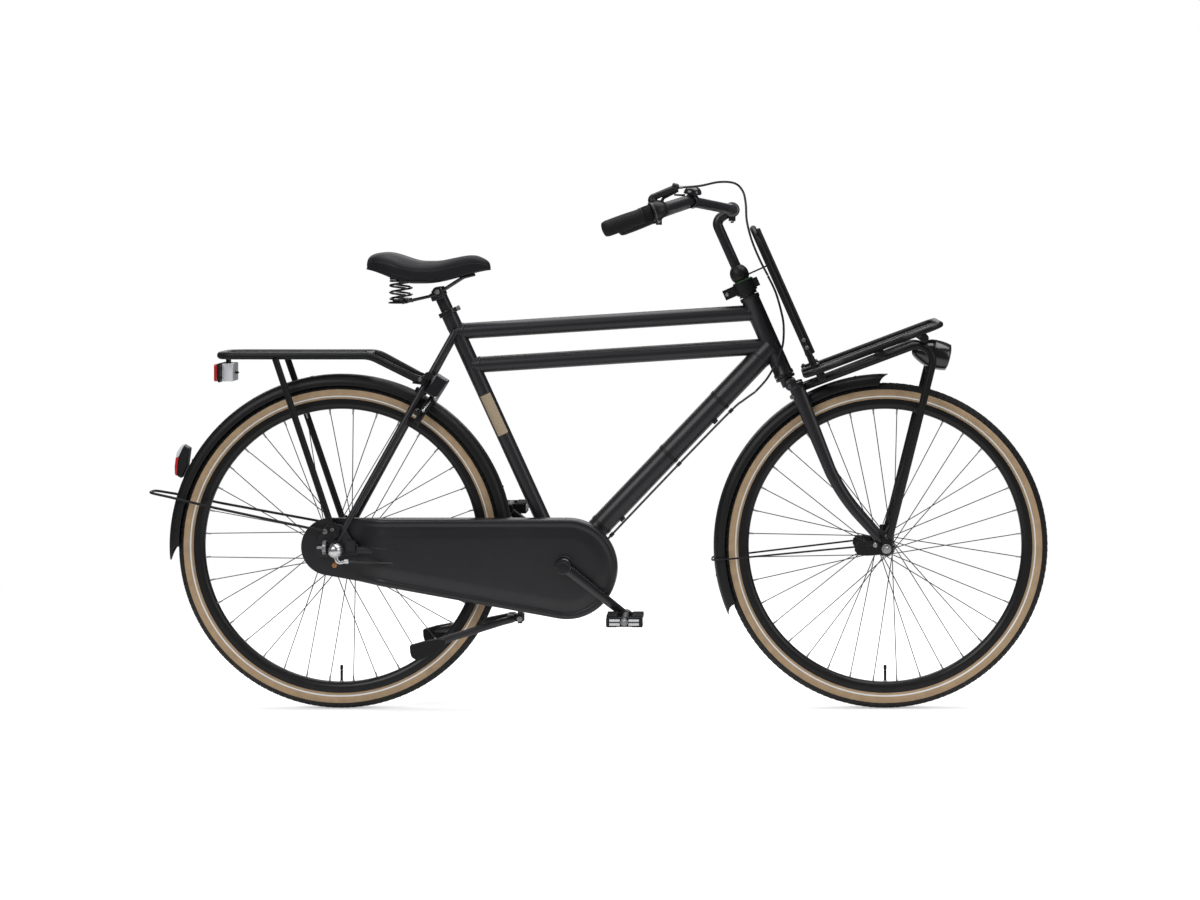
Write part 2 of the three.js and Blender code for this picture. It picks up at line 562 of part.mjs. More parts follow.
piece(bike, 'headlamp', cut(join(turnedOn(lampAt, lampDir, [[0, -80], [13, -78], [22, -64], [31, -44],
  [31.5, -22], [28.5, -1], [26.4, -1], [26.4, -8], [0, -8]], 12),
bar(v(1262, 0, 742), v(0.2, 0, -1).normalize(), 60, 10, 10),
drum(v(1268, 0, 714), Y, -9, 9, 6, 0, 10)), bar(onPlatform(272, 0, -40), platformUp, 61, 17, 6.2),
bar(onPlatform(276, 0, -10), platformDir, 90, 60, 8)), PLASTIC);
piece(bike, 'headlamp_lens', turnedOn(lampAt, lampDir,
  [[0, -7.4], [26, -7.4], [26, -1], [18, 2], [0, 4]], 12), CLEAR);
piece(bike, 'front_axle', join(drum(FRONT_AXLE, Y, -74, 74, AXLE_R, 0, 8),
  sides.flatMap(side => [drum(FRONT_AXLE, Y, ...padY(side, 67, 73), 9.8, 0, 6),
    drum(FRONT_AXLE, Y, ...padY(side, 39, 49), 8, 0, 8)])), STEEL);

// Drive

const ringR = PITCH / (2 * Math.sin(Math.PI / RING_TEETH));
const sprocketR = PITCH / (2 * Math.sin(Math.PI / SPROCKET_TEETH));
const beltRear = { x: 0, z: WHEEL_R, r: sprocketR };
const beltFront = { x: BRACKET.x, z: BRACKET.z, r: ringR };
const belt = (margin, halfWidth) => plate(beltOutline(beltRear, beltFront, margin, 6),
  CHAIN_Y - halfWidth, CHAIN_Y + halfWidth);
piece(bike, 'chain', cut(belt(4.5, 4.5), belt(-4, 6), belt(3.4, 3.2)), STEEL);
function chainWheel(radius, centre, bore, steps) {
  return turned([[bore, CHAIN_Y - 1.3], [radius, CHAIN_Y - 1.3], [radius, CHAIN_Y + 1.3],
    [bore, CHAIN_Y + 1.3]], steps, centre);
}
const crankset = new THREE.Group();
bike.add(crankset);
piece(crankset, 'chainring', join(chainWheel(ringR, BOTTOM, 7, 22),
  drum(BOTTOM, Y, -78, 78, 8.4, 0, 12), drum(BOTTOM, Y, -48, -40, 20, 0, 12)), BLACK);
const sprocket = chainWheel(sprocketR, REAR_AXLE, 15, 12);
piece(bike, 'sprocket', join(sprocket, turned([[AXLE_R + 1, -45], [17, -45], [17, -40], [AXLE_R + 1, -40]],
  12, REAR_AXLE)), STEEL);
const crankArm = (side, angle, y) => {
  const eye = polar(BOTTOM, CRANK_LENGTH, angle, y);
  const along = polar(v(0, 0, 0), 1, angle);
  return cut(join(drum(BOTTOM, Y, y - 9, y + 9, 17, 0, 12),
    bar(BOTTOM.clone().add(eye).multiplyScalar(0.5).setY(y), along, CRANK_LENGTH, 15, 21),
    drum(v(eye.x, 0, eye.z), Y, y - 8, y + 8, 13, 0, 12),
    drum(v(eye.x, 0, eye.z), Y, ...padY(side, Math.abs(y), Math.abs(y) + PEDAL_WIDTH + 4), AXLE_R, 0, 8)),
  drum(BOTTOM, Y, -78.4, 78.4, 8.4 + GAP + 0.3, 0, 12));
};
piece(crankset, 'right_crank', crankArm(-1, CRANK_ANGLE, RIGHT_CRANK_Y), BLACK);
piece(crankset, 'left_crank', crankArm(1, CRANK_ANGLE + 180, LEFT_CRANK_Y), BLACK);
function pedal(name, side, angle, y) {
  const at = polar(BOTTOM, CRANK_LENGTH, angle);
  const near = Math.abs(y) + 12;
  const far = near + PEDAL_WIDTH;
  const body = join(drum(at, Y, ...padY(side, near, far), 10, 0, 12),
    sides.map(way => block(at.x + way * 27 - 12, at.x + way * 27 + 12, ...padY(side, near, far),
      at.z - 12, at.z + 12)),
    block(at.x - 20, at.x + 20, ...padY(side, near, near + 4), at.z - 9, at.z + 9),
    block(at.x - 20, at.x + 20, ...padY(side, far - 4, far), at.z - 9, at.z + 9));
  piece(bike, name, cut(body, drum(at, Y, ...padY(side, near - 4, Math.abs(y) + PEDAL_WIDTH + 5),
    AXLE_R + GAP, 0, 10)), RUBBER);
}
pedal('right_pedal', -1, CRANK_ANGLE, RIGHT_CRANK_Y);
pedal('left_pedal', 1, CRANK_ANGLE + 180, LEFT_CRANK_Y);
const hull = (margin, y0, y1) => plate(beltOutline(CASE_REAR, CASE_FRONT, margin, 8), y0, y1);
const caseSkin = cut(hull(0, CASE_FACE_Y, CASE_BACK_Y),
  block(-120, CASE_STEP_X, CASE_FACE_Y - 1, CASE_STEP_Y, 200, 500));
const caseRoom = cut(hull(-CASE_WALL, CASE_FACE_Y + CASE_WALL, CASE_BACK_Y + 1),
  block(-120, CASE_STEP_X + CASE_WALL, CASE_FACE_Y - 1, CASE_STEP_Y + CASE_WALL, 200, 500));
const caseBack = cut(hull(0, CASE_BACK_Y - 0.1, CASE_BACK_Y + 2),
  plate(beltOutline(beltRear, beltFront, -2, 6), -50, -20),
  sides.map(side => pipe(chainStay(side).slice(1), 9, 6)));
piece(bike, 'chain_case', cut(join(cut(caseSkin, caseRoom), caseBack),
  block(36, 46, -71.6, -50, 326, 372), drum(BOTTOM, Y, -90, -60, 19, 0, 14),
  drum(REAR_AXLE, Y, -60, -40, 13, 0, 12), block(96, 142, -80, -70, 314, 327)), BLACK);

// Axle ends, shift guide and brake arm

const brakeArm = cut(join(
  plate([[-14, 338], [14, 334], [150, 324], [152, 334], [14, 368], [-14, 364]], 50, 54),
  block(138, 150, 48, 58, 318, 344)), pipe(chainStay(1).slice(1), 9.4, 6));
piece(bike, 'rear_axle', join(drum(REAR_AXLE, Y, -76, 76, AXLE_R, 0, 8),
  sides.map(side => drum(REAR_AXLE, Y, ...padY(side, 67.4, 73), 9.8, 0, 6)),
  drum(REAR_AXLE, Y, -60.6, -46, 9, 0, 8), brakeArm), STEEL);
const guideNut = v(-1, 0, 349);
piece(bike, 'shift_guide', cut(join(turnedOn(guideNut, v(0, -1, 0), [[0, 73.6], [13, 73.6], [17, 80],
  [14, 90], [6, 96], [0, 97]], 8),
pipe(bent([v(0, -84, 340), v(4, -86, 322), v(22, -85, 326)], 8, 30), 4, 8)),
drum(REAR_AXLE, Y, -76.6, -60, AXLE_R + GAP, 0, 8), drum(REAR_AXLE, Y, -76, -60, 11, 0, 8)), STEEL);
// Stand

const hinge = v(386, 0, 195);
const leg = side => bent([v(372, side * 24, 195), v(352, side * 34, 191), v(225, side * 92, 158),
  v(184, side * 112, 148)], 30, 30);
const standFoot = [[162, 152], [166, 128], [185, 122], [200, 130], [234, 152], [236, 163], [222, 166]];
piece(bike, 'stand_legs', cut(join(drum(hinge, Y, -26, 26, 4, 0, 10),
  block(358, 372.6, -28, 28, 187, 203), block(362, 394, -9.6, 9.6, 187, 203),
  sides.map(side => pipe(leg(side), 8, 6)),
  sides.map(side => plate(standFoot, ...padY(side, 102, 122)))),
block(396.6, 420, -40, 40, 150, 240)), PAINT);

// Ring lock

const lockOut = polar(v(0, 0, 0), 1, LOCK_ANGLE);
const lockAxis = v(-lockOut.z, 0, lockOut.x);
const lockAt = polar(REAR_AXLE, LOCK_RING_R, LOCK_ANGLE);
const lockPoint = (radius, degrees) => lockAt.clone()
  .addScaledVector(lockOut, radius * Math.sin(radians(degrees))).setY(radius * Math.cos(radians(degrees)));
const horseshoe = cut(turnedOn(lockAt, lockAxis, [[46, -7], [57, -7], [57, 7], [46, 7]], 18),
  bar(lockAt.clone().addScaledVector(lockOut, -52), lockOut, 50, 200, 30));
const knobSlot = cut(turnedOn(lockAt, lockAxis, [[55, -3.6], [76, -3.6], [76, 3.6], [55, 3.6]], 18),
  bar(lockAt.clone().addScaledVector(lockOut, -43), lockOut, 80, 200, 30));
const lockBox = bar(lockAt.clone().addScaledVector(lockOut, 67).addScaledVector(lockAxis, 4).setY(-37),
  lockOut, 46, 46, 30);
const keyAt = lockAt.clone().addScaledVector(lockOut, 78).setY(-50);
const shackleRoom = turnedOn(lockAt, lockAxis, [[46.6, -5], [56, -5], [56, 5], [46.6, 5]], 18);
piece(bike, 'lock_body', join(cut(horseshoe, shackleRoom, knobSlot), cut(lockBox, shackleRoom, knobSlot,
  drum(keyAt, lockAxis, 2, 20, 4, 0, 10)),
sides.map(side => bar(lockAt.clone().addScaledVector(lockAxis, 11).add(v(0, side * 51, 0)), lockAxis,
  10, 8, 16))), PLASTIC);
const lockGroup = new THREE.Group();
bike.add(lockGroup);
lockGroup.position.copy(lockAt);
const shacklePoint = degrees => lockPoint(51, degrees).sub(lockAt.clone().setY(0));
const shackleArc = Array.from({ length: 13 }, (_, k) => shacklePoint(-4 + 176 * k / 12));
const knobAt = shacklePoint(171);
piece(lockGroup, 'lock_shackle', join(pipe(shackleArc, 3.6, 6),
  pipe([knobAt.clone(), knobAt.clone().multiplyScalar(1.24)], 3, 6)), STEEL);
const keyTurn = [[0, 3], [3.5, 3], [3.5, 21], [0, 21]];
piece(bike, 'lock_key', join(turnedOn(keyAt, lockAxis, keyTurn, 10),
  bar(keyAt.clone().addScaledVector(lockAxis, 30), lockAxis, 20, 3, 16)), STEEL);

// Saddle

const seat = new THREE.Group();
bike.add(seat);
const saddleTop = new THREE.Group();
seat.add(saddleTop);
const railClamp = SEAT_TOP.clone().addScaledVector(SEAT_DIR, 45);
piece(seat, 'seat_post', cut(join(drum(SEAT_TOP, SEAT_DIR, -180, 41, 13.6, 0, 14),
  drum(SEAT_TOP, SEAT_DIR, 35, 53, 15.5, 0, 14)),
drum(railClamp, Y, -30, 30, 7.4, 0, 12)), PAINT);
const railCorners = [v(138, 45, 875.5), v(198, 30, 889), v(226, 16, 905), v(262, 12, 928), v(286, 12, 934)];
const railSide = side => bent(railCorners.map(p => p.clone().multiply(v(1, side, 1))), 20, 25);
const SPRING_FOOT = 878;
const SPRING_TOP = 924;
const SPRING_X = 128;
const SPRING_Y = 46;
const springSpot = side => v(SPRING_X, side * SPRING_Y, 0);
piece(seat, 'saddle_rails', join(drum(railClamp, Y, -27, 27, 7, 0, 12),
  sides.map(side => pipe(railSide(side), 3.5, 5)),
  sides.map(side => bar(v(railClamp.x - 2, side * 23, railClamp.z - 8), v(0.94, 0, 0.34).normalize(),
    26, 12, 18)),
  sides.map(side => drum(springSpot(side).setZ(SPRING_FOOT - 5), v(0, 0, 1), 0, 4, 21, 0, 10)),
  pipe([v(138, -46, 875), v(138, 46, 875)], 3.4, 6)), BLACK);

// Each saddle spring is one unbroken wire: a flat half turn, open turns, then a flat half turn
const SPRING_R = 17.5;
const SPRING_WIRE = 2.2;
const SPRING_TURNS = 3.5;
const STEPS_A_TURN = 8;
const springLow = SPRING_FOOT + GAP + SPRING_WIRE;
const springHigh = SPRING_TOP - GAP - SPRING_WIRE;
function springPath(side) {
  const count = SPRING_TURNS * STEPS_A_TURN;
  return Array.from({ length: count + 1 }, (_, k) => {
    const turn = 2 * Math.PI * k / STEPS_A_TURN;
    return springSpot(side).add(v(SPRING_R * Math.cos(turn), side * SPRING_R * Math.sin(turn),
      springLow + (springHigh - springLow) * k / count));
  });
}
function leastGap(path, wire) {
  let least = Infinity;
  for (let i = 0; i < path.length; i += 1) {
    for (let k = i + STEPS_A_TURN / 2; k < path.length; k += 1) {
      least = Math.min(least, path[i].distanceTo(path[k]) - 2 * wire);
    }
  }
  return least;
}
sides.forEach(side => {
  piece(seat, side < 0 ? 'saddle_spring_right' : 'saddle_spring_left',
    pipe(springPath(side), SPRING_WIRE, 5), BLACK);
});
console.log(`Saddle spring least gap ${leastGap(springPath(1), SPRING_WIRE).toFixed(2)} mm`);

// The cushion is a row of cross sections from the rear edge to the nose
const CUSHION_REAR = 56;
const CUSHION_NOSE = 321;
const CUSHION_STATIONS = 14;
const CUSHION_POINTS = 16;
const smooth = t => t * t * (3 - 2 * t);
const blendAt = (x, from, to) => smooth(THREE.MathUtils.clamp((x - from) / (to - from), 0, 1));
const endRound = (u, rear, nose, power) => Math.max(0.12,
  Math.pow(Math.max(0, 1 - Math.pow(Math.abs(2 * u - 1), u < 0.5 ? rear : nose)), power));
const cushionHalf = x => THREE.MathUtils.lerp(90, 30, blendAt(x, 120, 262));
const cushionTop = x => 984 - 20 * blendAt(x, 95, 182) + 12 * blendAt(x, 200, 281)
  - 8 * blendAt(x, 285, 321);
const cushionLow = x => 945 - 30 * blendAt(x, 48, 160) + 30 * blendAt(x, 182, 340);
const cushionRing = (k, inset, floor) => {
  const u = k / CUSHION_STATIONS;
  const reach = CUSHION_NOSE - CUSHION_REAR - 2 * inset;
  const x = CUSHION_REAR + inset + reach * (1 - Math.cos(Math.PI * u)) / 2;
  const along = (x - CUSHION_REAR) / (CUSHION_NOSE - CUSHION_REAR);
  const half = (cushionHalf(x) - inset) * endRound(along, 3.2, 4.5, 0.42);
  const tall = endRound(along, 7, 14, 0.5);
  const low = floor === undefined ? cushionLow(x) : floor(x);
  const middle = low + (cushionTop(x) - low) * 0.45;
  const rise = (cushionTop(x) - middle) * (0.15 + 0.85 * tall);
  const drop = (middle - low) * (0.3 + 0.7 * tall);
  return Array.from({ length: CUSHION_POINTS }, (_, i) => {
    const turn = 2 * Math.PI * i / CUSHION_POINTS;
    const across = Math.sign(Math.cos(turn)) * Math.pow(Math.abs(Math.cos(turn)), 0.62);
    const lift = Math.sin(turn);
    const height = lift > 0 ? rise * Math.pow(lift, 0.8) : -drop * Math.pow(-lift, 0.35);
    const tuck = lift < 0 ? 1 - 0.1 * Math.pow(-lift, 0.5) : 1;
    return v(x, half * across * tuck, middle + height);
  });
};
const baseTop = x => 945 + 4 * blendAt(x, 210, 310);
const cushionLoft = (inset, floor) => loft(Array.from({ length: CUSHION_STATIONS + 1 },
  (_, k) => cushionRing(k, inset, floor)));
const hollow = cut(cushionLoft(9, () => 900), block(0, 400, -120, 120, baseTop(300), 1100));
piece(saddleTop, 'saddle', cut(cushionLoft(0), hollow), SKIN);
const shell = cut(cushionLoft(10, () => 900), block(0, 400, -120, 120, baseTop(300) - GAP, 1100),
  block(0, 400, -120, 120, 800, baseTop(300) - 5));
const railPlug = join(block(262, 276, -10, 10, 938, 946),
  sides.map(side => drum(springSpot(side).setZ(SPRING_TOP), v(0, 0, 1), 0, 22, 18, 0, 10)));
piece(saddleTop, 'saddle_base', join(shell, railPlug), PLASTIC);

// Shift cable: a stretch held on the steering, a free loop at the head tube, a stretch on the frame

const CABLE_R = 2.4;
const cableStart = outletB.clone().add(v(4.6, 0, -0.8));
const smoothPath = (points, steps) => new THREE.CatmullRomCurve3(points, false, 'centripetal')
  .getSpacedPoints(steps);
const barCable = [cableStart, v(777, -230, 1122), v(816, -165, 1131), v(849, -120, 1129),
  v(866, -95, 1112), v(872, -76, 1085), v(874, -58, 1050), v(884, -46, 1010),
  v(901, -40, 968), v(919, -38, 933)];
const loopCable = [v(919, -38, 932.2), v(936, -36, 896), v(949, -35, 850), v(953, -34, 821),
  v(951, -33, 784), v(940, -30, 752), v(918, -24, 712), v(893, -14, 683)];
const frameCable = [v(892.2, -13.6, 682), underTube(515, 37, -11), underTube(480, 33, -10),
  underTube(320, 31, -10), underTube(110, 31, -10), v(500, -12, 284), v(450, -26, 287),
  v(406, -31, 294), v(384, -45, 300), v(356, -57, 303), v(250, -64, 311), v(150, -67, 316),
  v(112, -75, 321), v(80, -82, 323), v(40, -85, 325), v(27, -85, 325)];
piece(bike, 'shift_cable_bar', pipe(smoothPath(barCable, 13), CABLE_R, 8), PLASTIC);
piece(bike, 'shift_cable_loop', pipe(smoothPath(loopCable, 12), CABLE_R, 8), PLASTIC);
piece(bike, 'shift_cable', pipe(smoothPath(frameCable, 25), CABLE_R, 8), PLASTIC);

export default bike;
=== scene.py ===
"""Dutch city bike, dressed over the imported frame. Lengths in the shape code are millimetres
measured from under the rear axle, as in the part's source; meshes are written in metres."""

import math
from math import cos, pi, radians, sin

import bmesh
import bpy
from mathutils import Matrix, Quaternion, Vector


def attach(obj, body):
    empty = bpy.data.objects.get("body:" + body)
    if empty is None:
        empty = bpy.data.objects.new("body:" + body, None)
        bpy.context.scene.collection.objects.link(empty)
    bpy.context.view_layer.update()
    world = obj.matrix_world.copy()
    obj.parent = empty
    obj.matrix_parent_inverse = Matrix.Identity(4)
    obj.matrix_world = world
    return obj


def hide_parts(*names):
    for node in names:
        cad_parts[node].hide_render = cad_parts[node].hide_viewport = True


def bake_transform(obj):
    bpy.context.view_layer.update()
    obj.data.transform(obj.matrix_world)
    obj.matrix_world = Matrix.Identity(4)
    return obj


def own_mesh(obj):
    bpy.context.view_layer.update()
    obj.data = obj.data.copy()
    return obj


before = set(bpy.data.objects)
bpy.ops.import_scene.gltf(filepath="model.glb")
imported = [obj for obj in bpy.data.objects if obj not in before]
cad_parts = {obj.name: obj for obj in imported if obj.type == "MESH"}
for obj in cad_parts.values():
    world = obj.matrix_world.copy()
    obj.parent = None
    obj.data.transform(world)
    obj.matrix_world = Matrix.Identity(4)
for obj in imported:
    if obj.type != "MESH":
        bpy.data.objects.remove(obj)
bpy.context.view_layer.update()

bl_info = {
    "name": "Dutch City Bike",
    "version": (1, 0, 0),
    "blender": (4, 5, 0),
    "location": "View3D > Sidebar > City Bike",
    "description": "Builds a black city bike with carriers, chain case and sprung saddle",
    "category": "Add Mesh",
}

MID_X = 557.0
WHEELBASE = 1172.0
AXLE_Z = 350.5
X_AXIS, Y_AXIS, Z_AXIS = Vector((1, 0, 0)), Vector((0, 1, 0)), Vector((0, 0, 1))
ORIGIN = Vector((0, 0, 0))
SIDES = ((-1, "right"), (1, "left"))


def V(x, y, z):
    return Vector((x, y, z))


def sided(side, near, far):
    """The low and high Y of a span on one side of the middle plane"""
    return (near, far) if side > 0 else (-far, -near)


REAR = V(0, 0, AXLE_Z)
FRONT = V(WHEELBASE, 0, AXLE_Z)
BOTTOM = V(485, 0, 316)
SEAT_TOP = V(228.3, 0, 856)
SEAT_LOW = V(475, 0, 316)
SEAT_DIR = (SEAT_TOP - SEAT_LOW).normalized()
HEAD_LOW = V(955, 0, 716.3)
HEAD_HIGH = V(878.6, 0, 888)
STEER_DIR = (HEAD_HIGH - HEAD_LOW).normalized()
DOWN_TOP = V(926.6, 0, 780.4)
DOWN_DIR = (DOWN_TOP - BOTTOM).normalized()


def steer(height, forward=0.0, side=0.0):
    """A point on the steering axis at a height, pushed forward square to it and sideways."""
    along = (height - HEAD_LOW.z) / STEER_DIR.z
    return HEAD_LOW + STEER_DIR * along + V(STEER_DIR.z * forward, side, -STEER_DIR.x * forward)


def polar(centre, radius, degrees, y=0.0):
    turn = radians(degrees)
    return V(centre.x + radius * cos(turn), y, centre.z + radius * sin(turn))


# Sizes and colours that a user would change


def length(name, default, text):
    return bpy.props.FloatProperty(name=name, description=text, default=default, unit="LENGTH",
        subtype="DISTANCE", min=0.0)


def paint(name, default, text):
    return bpy.props.FloatVectorProperty(name=name, description=text, default=default, size=3,
        subtype="COLOR", min=0.0, max=1.0)


def number(name, default, low, text):
    return bpy.props.IntProperty(name=name, description=text, default=default, min=low)


class BikeSizes(bpy.types.PropertyGroup):
    """Sizes of the details that the scene adds"""
    tread_blocks: number("Tread blocks", 150, 8, "Rows of tread blocks round each tyre")
    spoke_pairs: number("Spoke pairs", 9, 3, "Pairs of crossed spokes on each side of a wheel")
    spoke_thickness: length("Spoke thickness", 0.002, "Diameter of a spoke")
    grip_ribs: number("Grip ribs", 15, 0, "Rings round each handlebar grip")
    stitch_length: length("Stitch length", 0.0042, "Length of one saddle stitch")
    panel_hole: length("Panel hole", 0.009, "Diameter of a hole in the carrier's upright panel")
    edge_round: length("Edge round", 0.0012, "Rounding of sheet metal and moulded edges")


class BikeColours(bpy.types.PropertyGroup):
    """Colours of the paint, rubber and trim"""
    frame_paint: paint("Frame paint", (0.0112, 0.0102, 0.0132), "Matt paint of the frame and fork")
    carrier_paint: paint("Carrier paint", (0.0070, 0.0070, 0.0078), "Powder coat of carriers and fenders")
    sidewall: paint("Sidewall", (0.40, 0.275, 0.16), "Tan band on the tyres")
    tread: paint("Tread", (0.010, 0.010, 0.010), "Tread rubber")
    reflex: paint("Reflex stripe", (0.74, 0.76, 0.76), "Reflecting stripe on the tyres")
    saddle_skin: paint("Saddle skin", (0.0112, 0.0104, 0.0128), "Synthetic leather of the saddle")
    label: paint("Seat tube band", (0.38, 0.30, 0.20), "Plain band on the seat tube")
    lamp_red: paint("Lamp red", (0.55, 0.012, 0.016), "Red lenses and reflectors")


# Mesh tools


class Skin:
    """Gathers closed or open surfaces with a material number for each face"""

    def __init__(self):
        self.points = []
        self.faces = []
        self.looks = []

    def rings(self, rings, look=0, closed=False, caps=True):
        count = len(rings[0])
        start = len(self.points)
        for ring in rings:
            self.points.extend(ring)
        last = len(rings) if closed else len(rings) - 1
        for r in range(last):
            a = start + r * count
            b = start + ((r + 1) % len(rings)) * count
            for i in range(count):
                k = (i + 1) % count
                self.faces.append((a + i, a + k, b + k, b + i))
                self.looks.append(look(r, i) if callable(look) else look)
        if caps and not closed:
            end = look(0, 0) if callable(look) else look
            self.faces.append(tuple(reversed(range(start, start + count))))
            self.faces.append(tuple(range(start + (len(rings) - 1) * count, start + len(rings) * count)))
            self.looks.extend((end, end))
        return self

    def tube(self, path, radius, sides=20, look=0, round_end=0.0):
        """A bar along a path; radius is a number or a function of the share along it"""
        frames = carried_frames(path)
        total = len(path) - 1
        rings = []
        for k, (point, side, up) in enumerate(frames):
            size = radius(k / total) if callable(radius) else radius
            rings.append(oval_ring(point, side, up, size, size, sides))
        if round_end:
            rings = rounded_ends(rings, path, round_end)
        return self.rings(rings, look)

    def turned(self, origin, axis, outline, steps=48, look=0, closed=None):
        """A ring, or a knob where the outline has an end on the axis, from radius and distance pairs"""
        turn = Y_AXIS.rotation_difference(axis.normalized())
        rings = []
        for s in range(steps):
            angle = 2 * pi * s / steps
            rings.append([origin + turn @ V(r * cos(angle), y, r * sin(angle)) for r, y in outline])
        count = len(outline)
        start = len(self.points)
        for ring in rings:
            self.points.extend(ring)
        spans = count - (0 in (outline[0][0], outline[-1][0]) if closed is None else not closed)
        for s in range(steps):
            a = start + s * count
            b = start + ((s + 1) % steps) * count
            for i in range(spans):
                k = (i + 1) % count
                self.faces.append((a + i, b + i, b + k, a + k))
                self.looks.append(look(i) if callable(look) else look)
        return self

    def drum(self, origin, axis, low, high, outer, inner=0.0, steps=40, look=0, edge=0.0):
        e = min(edge, (high - low) * 0.45)
        outline = [(inner, low), (outer - e, low), (outer, low + e), (outer, high - e), (outer - e, high),
            (inner, high)]
        return self.turned(origin, axis, outline, steps, look, closed=True)

    def plate(self, outline, low, high):
        """A flat plate in the XZ plane between two Y values"""
        return self.rings([[V(x, y, z) for x, z in outline] for y in (low, high)])

    def box(self, centre, along, size, look=0, up=None):
        along = along.normalized()
        up = (up or Y_AXIS.cross(along) * -1).normalized()
        side = up.cross(along)
        half = [c / 2 for c in size]
        ends = []
        for a in (-1, 1):
            ends.append([centre + along * half[0] * a + side * half[1] * s + up * half[2] * t
                for s, t in ((-1, -1), (1, -1), (1, 1), (-1, 1))])
        return self.rings(ends, look)


def mirrored(half):
    """A closed outline from its half, which runs in from the far end to the middle"""
    return [(r, -y) for r, y in half] + [(r, y) for r, y in reversed(half)]


def oval_ring(point, side, up, wide, tall, sides):
    return [point + side * wide * cos(2 * pi * i / sides)
            + up * tall * sin(2 * pi * i / sides) for i in range(sides)]


def carried_frames(path):
    """Side and up directions carried along a path without twist"""
    last = len(path) - 1
    ahead = [(path[min(k + 1, last)] - path[max(k - 1, 0)]).normalized() for k in range(last + 1)]
    start = Y_AXIS if abs(ahead[0].y) < 0.9 else X_AXIS
    side = (start - ahead[0] * start.dot(ahead[0])).normalized()
    frames = []
    for k, direction in enumerate(ahead):
        if k:
            side = ahead[k - 1].rotation_difference(direction) @ side
            side = (side - direction * side.dot(direction)).normalized()
        frames.append((path[k], side, direction.cross(side)))
    return frames


def rounded_ends(rings, path, reach):
    """Adds a dome to both ends of a run of rings"""
    def dome(ring, centre, outward):
        grown = []
        for k in range(1, 5):
            turn = pi / 2 * k / 4.6
            grown.append([centre + (p - centre) * cos(turn) + outward * reach * sin(turn) for p in ring])
        return grown
    first = dome(rings[0], path[0], (path[0] - path[1]).normalized())
    final = dome(rings[-1], path[-1], (path[-1] - path[-2]).normalized())
    return list(reversed(first)) + rings + final


def bent(corners, radius, step=7.0):
    """A path through corner points with each corner rounded"""
    path = [corners[0]]
    for i in range(1, len(corners) - 1):
        here = corners[i]
        back = corners[i - 1] - here
        on = corners[i + 1] - here
        turn = pi - back.angle(on)
        if turn < 0.01:
            path.append(here)
            continue
        reach = min(radius * math.tan(turn / 2), back.length * 0.49, on.length * 0.49)
        bend = reach / math.tan(turn / 2)
        back.normalize()
        on.normalize()
        middle = here + (back + on).normalized() * (bend / cos(turn / 2))
        start = here + back * reach - middle
        axis = start.cross(here + on * reach - middle).normalized()
        steps = max(2, round(math.degrees(turn) / step))
        path.extend(middle + Quaternion(axis, turn * k / steps) @ start for k in range(steps + 1))
    path.append(corners[-1])
    return path


def smooth_path(points, steps):
    """A rounded path through points, evenly stepped"""
    fine = []
    for i in range(len(points) - 1):
        p0 = points[max(i - 1, 0)]
        p1, p2 = points[i], points[i + 1]
        p3 = points[min(i + 2, len(points) - 1)]
        for k in range(12):
            t = k / 12
            fine.append(0.5 * ((2 * p1) + (p2 - p0) * t + (2 * p0 - 5 * p1 + 4 * p2 - p3) * t * t
                + (3 * p1 - p0 - 3 * p2 + p3) * t ** 3))
    fine.append(points[-1].copy())
    runs = [0.0]
    for a, b in zip(fine, fine[1:]):
        runs.append(runs[-1] + (b - a).length)
    path = []
    j = 0
    for k in range(steps + 1):
        want = runs[-1] * k / steps
        while j < len(runs) - 2 and runs[j + 1] < want:
            j += 1
        share = (want - runs[j]) / max(runs[j + 1] - runs[j], 1e-9)
        path.append(fine[j].lerp(fine[j + 1], share))
    return path


def metres(point):
    return ((point[0] - MID_X) / 1000, point[1] / 1000, point[2] / 1000)


def object_of(mesh, looks):
    """An object in the scene from a mesh and its materials"""
    for look in looks:
        mesh.materials.append(look)
    piece = bpy.data.objects.new("part", mesh)
    bpy.context.scene.collection.objects.link(piece)
    return piece


def shaped(skin, looks, smooth=38.0, bevel=0.0):
    """A mesh object from a skin and its finishes, outward facing, with soft edges where asked"""
    mesh = bpy.data.meshes.new("part")
    mesh.from_pydata([metres(p) for p in skin.points], [], skin.faces)
    mesh.polygons.foreach_set("material_index", skin.looks)
    faced_out(mesh, smooth, merge=True)
    piece = object_of(mesh, [look_of(word) for word in looks.split()])
    if bevel:
        rounder = piece.modifiers.new("Soft edges", "BEVEL")
        settle(rounder, {"width": bevel, "segments": 2, "limit_method": "ANGLE",
            "angle_limit": radians(40), "harden_normals": False})
    return piece


def faced_out(mesh, smooth=35.0, merge=False):
    """Turns the faces outwards, with shading smooth up to an angle, and merges doubles where asked"""
    edit = bmesh.new()
    edit.from_mesh(mesh)
    if merge:
        bmesh.ops.remove_doubles(edit, verts=edit.verts, dist=2e-6)
        bmesh.ops.dissolve_degenerate(edit, edges=edit.edges, dist=1e-7)
    bmesh.ops.recalc_face_normals(edit, faces=edit.faces)
    edit.to_mesh(mesh)
    edit.free()
    mesh.shade_smooth()
    mesh.set_sharp_from_angle(angle=radians(smooth))


def fitted(node, body, slot, *pieces, name=""):
    """Joins pieces into one that rides on a body and stands for a CAD node, whose part it hides; the slot is
    not used
    """
    whole = merged(pieces) if len(pieces) > 1 else pieces[0]
    whole.name = whole.data.name = name or node + "_full"
    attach(whole, body)
    if node:
        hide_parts(node)
    return whole


